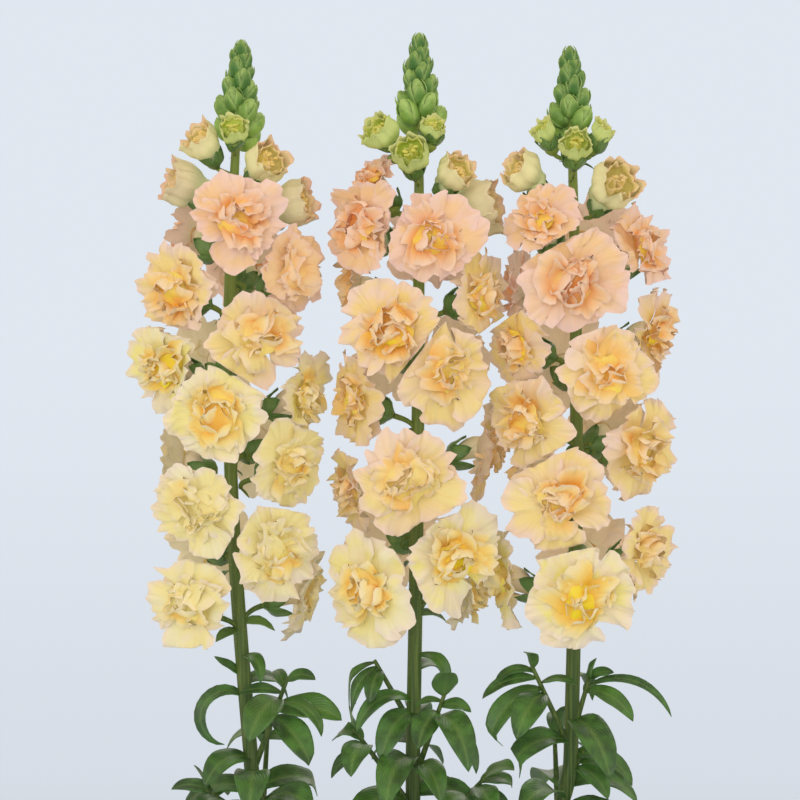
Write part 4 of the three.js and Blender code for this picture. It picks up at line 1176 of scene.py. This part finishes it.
def petal_finish(name, *colours):
    """Soft thin petals: colours by how far out a point is, whether it is on an inner petal, and its side. The
    colours are those of the skirt and its base, the rim, the inner petals, the deeper orange towards their
    bases (partly their own colour, partly painted shade for their deep folds), patches, the back, the tube,
    and what they fade towards."""
    skirt, skirt_base, rim, inner, base_tint_and_fold_shade, patch, back, tube_back, turning = map(paint, colours)
    finish, shader, start = new_finish(name, Specular_IOR_Level=0.15)
    reach, deep, behind, creased = marks_of(start)
    age = start.node("ShaderNodeAttribute", {"attribute_name": "age"}, output="Fac")
    inside = creased.between(0.05, 0.4)
    chart = start.node("ShaderNodeUVMap", {"uv_map": "chart"})
    stretched = start.node("ShaderNodeMapping", None, {"Vector": chart, "Scale": (26, 1.2, 1)})
    veins = start.node("ShaderNodeTexNoise", None, {"Vector": stretched, "Scale": 1.0, "Detail": 3.0})
    blotch = grain(start, 75, 3)
    cloud = grain(start, 38, 2)
    outer = reach.between(0.0, 0.75).mixed(skirt_base, skirt)
    outer = (cloud.between(0.40, 0.56) * 0.75).mixed(outer, skirt_base)
    outer = (blotch.between(0.48, 0.62) * 0.6).mixed(outer, rim)
    # Towards their bases the inner petals turn deeper orange: partly their own colour, partly painted shade
    # for the deep folds.
    filling = reach.between(0.25, 1.0).mixed(base_tint_and_fold_shade, inner)
    filling = (deep * cloud.between(0.36, 0.54) * creased * 1.5).limited().mixed(filling, patch)
    body = inside.mixed(outer, filling)
    body = (age * cloud.between(0.3, 0.6)).mixed(body, turning)
    body = (veins.between(0.45, 0.7) * 0.14).mixed(body, base_tint_and_fold_shade)
    body = (reach.between(0.7, 1.0) * (0.75 - 0.3 * inside)).mixed(body, rim)
    outside = reach.between(-0.55, 0.45).mixed(tube_back, back)
    body = (behind * (0.8 - 0.6 * inside)).mixed(body, outside)
    feed(shader, Base_Color=body, Roughness=0.5 + 0.2 * veins)
    feed(shader, Normal=relief(start, veins + 0.3 * grain(start, 1400, 2), 0.00022))
    return finish


# The fifth colour of each is the deeper orange at the inner petals' bases, partly painted shade for their
# folds.
PETALS = {
    "petal_young": petal_finish(
        "young petals", "#e8c8b0", "#ebc48a", "#e9cac0", "#ebc89e", "#e99c52", "#edcc58", "#f4d6c2",
        "#ccd6a4", "#ebcc98"),
    "petal_ripe": petal_finish(
        "ripe petals", "#e9d0b2", "#ecd27a", "#e9cfc2", "#eccc8a", "#eba640", "#efd83e", "#f4dcc0",
        "#dcd6b4", "#ebd892"),
    "petal_old": petal_finish(
        "old petals", "#e9e2bc", "#ebe07a", "#e8d8c8", "#ecda88", "#ebb446", "#efde3a", "#f4e6c6",
        "#e2ccb6", "#eade9e"),
}
YOUNG_ABOVE = {"left": 465, "middle": 465, "right": 450}
OLD_BELOW = {"left": 430, "middle": 345, "right": 335}
tone_random = np.random.default_rng(TONE_SEED)
for number, flower in enumerate(f for f in flowers if f["open"]):
    name, height = flower["stem_name"], flower["height"]
    young, old = YOUNG_ABOVE[name], OLD_BELOW[name]
    slot = "petal_young" if height > young else "petal_old" if height < old else "petal_ripe"
    label = f"{flower['number'] + 1:02d}"
    mesh = joined(f"{name}_double_bloom_{label}", double_bloom(flower, BLOOM_SEED + number))
    faded = {"petal_young": (young + 20 - height) / 30, "petal_ripe": (young - height) / (young - old),
             "petal_old": (old - height) / 60}[slot]
    aged(mesh, min(1.0, max(0.0, faded + tone_random.uniform(-0.3, 0.3))))
    finished(mesh.name, mesh, PETALS[slot], [f"{name}_bloom_{label}"])
    softened(mesh, flower["axis"])

# ---------------------------------------------------------------- half-open flowers
# Above the open blooms stand flowers that are just opening: a pale green tube that swells to a crimped,
# khaki to peach mouth, with the tips of the inner petals showing in it.


BARREL_GRID = (10, 41)
BARREL_HALF_TURN = 184
OPENING_SWELL = [0.4, 0.56, 0.7, 0.8, 0.88, 0.94, 1.0]
# The two barrels of a flower: their width, foot, rim and flare, and their last mark.
BARRELS = ((0.95, -0.95, 0.72, 0.06, 0), (0.72, -0.5, 0.6, 0.05, 0.5))
TONGUES = 4
TONGUE_TURN = 1.571
ANTHERS = 5
OPENING_SEEDS = {"left": 940, "middle": 960, "right": 950}
OPENING_AGE = 0.3


def crimped_barrel(half, share, low, high, flare, random):
    """A ring of petals that still clasp each other, ragged at the mouth: a grid and its marks."""
    s, t, marks = sheet(BARREL_GRID)
    theta = random.uniform(*ANY_TURN) - t * np.radians(BARREL_HALF_TURN)
    turns = random.uniform(*ANY_TURN, 7)
    swell = 0.52 + 0.48 * smooth(s, 0.05, 0.6) - 0.12 * smooth(s, 0.62, 0.9) + flare * smooth(s, 0.84, 1)
    folds = 0.07 * np.cos(5 * theta + turns[0]) + 0.05 * np.cos(11 * theta + turns[6] + s)
    folds = folds * smooth(s, 0, 0.5) + 0.12 * s ** 3 * np.sin(3 * theta + turns[1])
    crimps = s ** 4 * (0.09 * np.sin(8 * theta + turns[2]) + 0.07 * np.sin(13 * theta + turns[3]))
    radius = half * share * swell * (1 + folds + crimps)
    rim = 0.09 * np.sin(5 * theta + turns[4]) + 0.09 * np.sin(9 * theta + turns[5])
    teeth = ragged(BARREL_GRID[1], random)[None, :]
    forward = half * (mix(low, high, s) + s ** 3 * rim + s ** 4 * 0.14 * teeth)
    marks[..., 0] = mix(-0.8, 1, s)
    return polar(radius, theta, forward), marks


def lobed_ball(radius):
    """Rings of points round a small anther of two lobes, without its poles."""
    tilt = np.linspace(0.45, np.pi - 0.45, 4)[:, None]
    around = np.linspace(2 * np.pi, 0, 8, endpoint=False)[None, :]
    wide = radius * np.sin(tilt) * (1 + 0.35 * np.cos(2 * around))
    return polar(wide, around, -radius * np.cos(tilt))


def opening_flower(flower, seed):
    random = np.random.default_rng(seed)
    draw = random.uniform
    half = flower["half"]
    parts = [corolla_tube(flower, 0.6 * half, -0.4 * half, OPENING_SWELL)]
    for *sizes, kind in BARRELS:
        grid, marks = crimped_barrel(half, *sizes, random)
        marks[..., 3] = kind
        parts.append(petal(grid, marks, flower))
    turn = draw(*ANY_TURN)
    for i in range(TONGUES):
        lean = (draw(6, 20), draw(-50, -10))
        grid, marks = inner_petal(half, turn + i * TONGUE_TURN, 5.5, 19, 8, lean, random, 0.9)
        grid[..., 2] += -0.3 * half
        marks[..., 1], marks[..., 3] = 1, 1
        parts.append(petal(grid, marks, flower))
    for i in range(ANTHERS):
        angle, out = draw(*ANY_TURN), half * draw(0.1, 0.42)
        grid = lobed_ball(0.075 * half + 0.3)
        grid = grid + np.array([out * math.cos(angle), out * math.sin(angle), half * 0.42])
        marks = np.zeros((*grid.shape[:2], 4))
        marks[..., 0], marks[..., 1], marks[..., 3] = 0.9, 1.5, 1
        points, *rest = closed_rings(grid, marks)
        parts.append((on_flower(points, flower), *rest))
    return parts


# The looks of the half-open flowers, in the order of OPENING: greenish, khaki or pinkish.
OPENING_LOOKS = {"left": "kgkpp", "middle": "gggkp", "right": "gkkgg"}
# Here too the fifth colour is the deeper orange at the inner petals' bases, partly painted shade for their
# folds.
OPENING_PETALS = {
    "p": ("pinkish", "petal_young", petal_finish(
        "pinkish petals", "#e2c6a2", "#dccf96", "#e6b8a2", "#e2cc90", "#dcb466", "#f0dc48", "#d8cfa4",
        "#c9d6a4", "#dccf9c")),
    "k": ("khaki", "petal_ripe", petal_finish(
        "khaki petals", "#e6d6a0", "#dad994", "#e8bfa0", "#e8d68a", "#d2c86a", "#f4e04a", "#dfdaa2",
        "#cbdaa0", "#e4c8a0")),
    "g": ("greenish", "petal_ripe", petal_finish(
        "greenish petals", "#c8d084", "#b6c662", "#d0d092", "#ccd062", "#acc040", "#e4dc3c", "#bccc7c",
        "#a4be62", "#d0cc84")),
}
opening_parts = {name: [] for name in STEMS}
for name in STEMS:
    for look, (label, slot, finish) in OPENING_PETALS.items():
        mine = [f for f in flowers if f["stem_name"] == name and not f["open"]
                and OPENING_LOOKS[name][f["number"]] == look]
        parts = [part for f in mine for part in opening_flower(f, OPENING_SEEDS[name] + f["number"])]
        opening_parts[name] += parts
        if parts:
            mesh = aged(joined(f"{name}_{label}_flowers", parts), OPENING_AGE)
            finished(mesh.name, mesh, finish, [f"{name}_leafy_stem"])

# ---------------------------------------------------------------- tip buds
# Closed buds are packed round each tip in a spiral: small green pointed ovals, wrapped in overlapping sepals,
# that lie closer to the stem and get shorter going up.
BUDS = {"count": 25, "depth": 47, "turn": 137.5, "shortest": 8, "longest": 13, "plumpness": 0.34}
BUD_RISE = (84, 44)
BUD_SEED = 60
HEART_GRID = (9, 12)
WRAPS = 4
WRAP_GRID = (7, 5)
WRAP_THICKNESS = 0.45


def closed_bud(stem, k, random):
    """The bud itself, and the sepals that wrap it."""
    t = k / (BUDS["count"] - 1)
    length = mix(BUDS["shortest"], BUDS["longest"], t) * random.uniform(0.94, 1.06)
    z = stem["tip"] - 7 - (BUDS["depth"] - 5) * t - length * 0.35
    rise = mix(*BUD_RISE, t) + random.uniform(-5, 5)
    bearing = k * BUDS["turn"] + random.uniform(-5, 5)
    axis = heading(bearing, rise)
    base = stem_point(stem, z) + heading(bearing) * (0.5 + 4.2 * t)
    start = random.uniform(*ANY_TURN)

    def skin(along, around, share, lift):
        swell = 1.05 * (along + 0.02) ** 0.55 * (1.03 - along) ** 0.66 / 0.47 ** 0.55 / 0.58 ** 0.66
        radius = BUDS["plumpness"] * length * np.clip(swell, 0.02, 1) * share + lift
        line = base + axis * (length * (1.08 * along - 0.06))[..., None]
        return round_line(line, *square_to(axis), radius, around)

    s, _, marks = sheet(HEART_GRID)
    around = np.linspace(2 * np.pi, 0, HEART_GRID[1], endpoint=False)[None, :] * np.ones_like(s)
    marks[..., 1], marks[..., 3] = 0.6, t
    parts = [closed_rings(skin(s, around, 0.9, 0), marks)]
    for i in range(WRAPS):
        s, aside, marks = sheet(WRAP_GRID)
        around = start + i * np.pi / 2 - aside * 1.02 * np.maximum(0.05, 1 - s ** 1.9) ** 0.7
        marks[..., 1], marks[..., 3] = 0.7 * np.abs(aside) ** 3, t
        top = random.uniform(0.86, 1.0)
        lift = 0.25 + 0.3 * (i % 2) + 0.3 * s ** 3
        reach = np.linspace(0, top, WRAP_GRID[0])[:, None]
        parts.append(shell(skin(reach, around, 1.0, lift), WRAP_THICKNESS, marks))
    return parts


def bud_finish():
    finish, shader, start = new_finish("closed green buds", Specular_IOR_Level=0.4, Subsurface_Weight=0.15,
                                       Subsurface_Scale=0.002, Subsurface_Radius=(0.6, 1.0, 0.25))
    along, seam, _, low = marks_of(start)
    mottle = grain(start, 260, 3)
    body = low.between(0.3, 1.1).mixed(paint("#3b6b26"), paint("#9fc258"))
    body = (along.between(0.5, 1.0) * 0.4).mixed(body, paint("#aac765"))
    body = (seam * 0.75).mixed(body, paint("#b3cc7c"))
    body = (mottle.between(0.4, 0.75) * 0.5).mixed(body, paint("#37611f"))
    feed(shader, Base_Color=body, Roughness=0.45 + 0.2 * mottle, Normal=relief(start, mottle, 0.0003))
    return finish


def surface(parts):
    """The surface of some parts, to find what runs into it."""
    points, faces = [], []
    for part_points, part_faces, *_ in parts:
        faces += [[v + len(points) for v in face] for face in part_faces]
        points += np.asarray(part_points).tolist()
    return BVHTree.FromPolygons(points, faces)


BUD_GREEN = bud_finish()
for number, (name, stem) in enumerate(STEMS.items()):
    random = np.random.default_rng(BUD_SEED + number)
    flowers_there = surface(opening_parts[name])
    buds = [closed_bud(stem, k, random) for k in range(BUDS["count"])]
    clear = [bud for bud in buds if not flowers_there.overlap(surface(bud))]
    stem_piece(name, "tip_buds", [part for bud in clear for part in bud], BUD_GREEN)

# ---------------------------------------------------------------- down
# Fine pale hairs stand on the flowering part of each stem and on its flower stalks. Each is a three-sided
# spike that stands out from the surface, scattered by node tree.
DOWN = {"Spacing": 0.0009, "Per Square Metre": 500000.0, "Shortest": 0.0005, "Longest": 0.0012,
        "From Height": 0.3}
HAIR_WIDTH = 0.05
HAIR_SIDES = 3


def downy(name, ground, finish, sizes, seed):
    """Hairs on the part of a piece above a height."""
    flow, given = new_tree(name, sizes)
    place = flow.node("GeometryNodeInputPosition")
    height = flow.node("ShaderNodeSeparateXYZ", None, {0: place}, output="Z")
    flowering = flow.node("FunctionNodeCompare", {"operation": "GREATER_THAN"}, {
        0: height, 1: given["From Height"]})
    spots = spots_on(flow, given, flowering, seed)
    upright = Wire(flow.tree, spots.socket.node.outputs["Rotation"])
    spike = flow.node("GeometryNodeMeshCone", None, {
        "Vertices": HAIR_SIDES, "Radius Top": 0.0, "Radius Bottom": HAIR_WIDTH, "Depth": 1.0})
    length = flow.node("FunctionNodeRandomValue", {"data_type": "FLOAT"}, {
        2: given["Shortest"], 3: given["Longest"], "Seed": seed + 1}, output=1)
    return strewn(name, ground, sizes, finish, flow, {
        "Points": spots, "Instance": spike, "Rotation": upright, "Scale": length})


# The pieces that down grows on, and the seed of its places.
DOWNY = {"stem_down": (stem_pieces, 71), "stalk_down": (stalk_pieces, 81)}
hair_finish, _, _ = new_finish("pale down", Base_Color=(*paint("#b9c78e"), 1), Roughness=0.4)
for number, name in enumerate(STEMS):
    for label, (grounds, seed) in DOWNY.items():
        whole = f"{name}_{label}"
        down = downy(whole, grounds[name], hair_finish, DOWN, seed + number)
        finished(whole, down, None, [f"{name}_leafy_stem"])
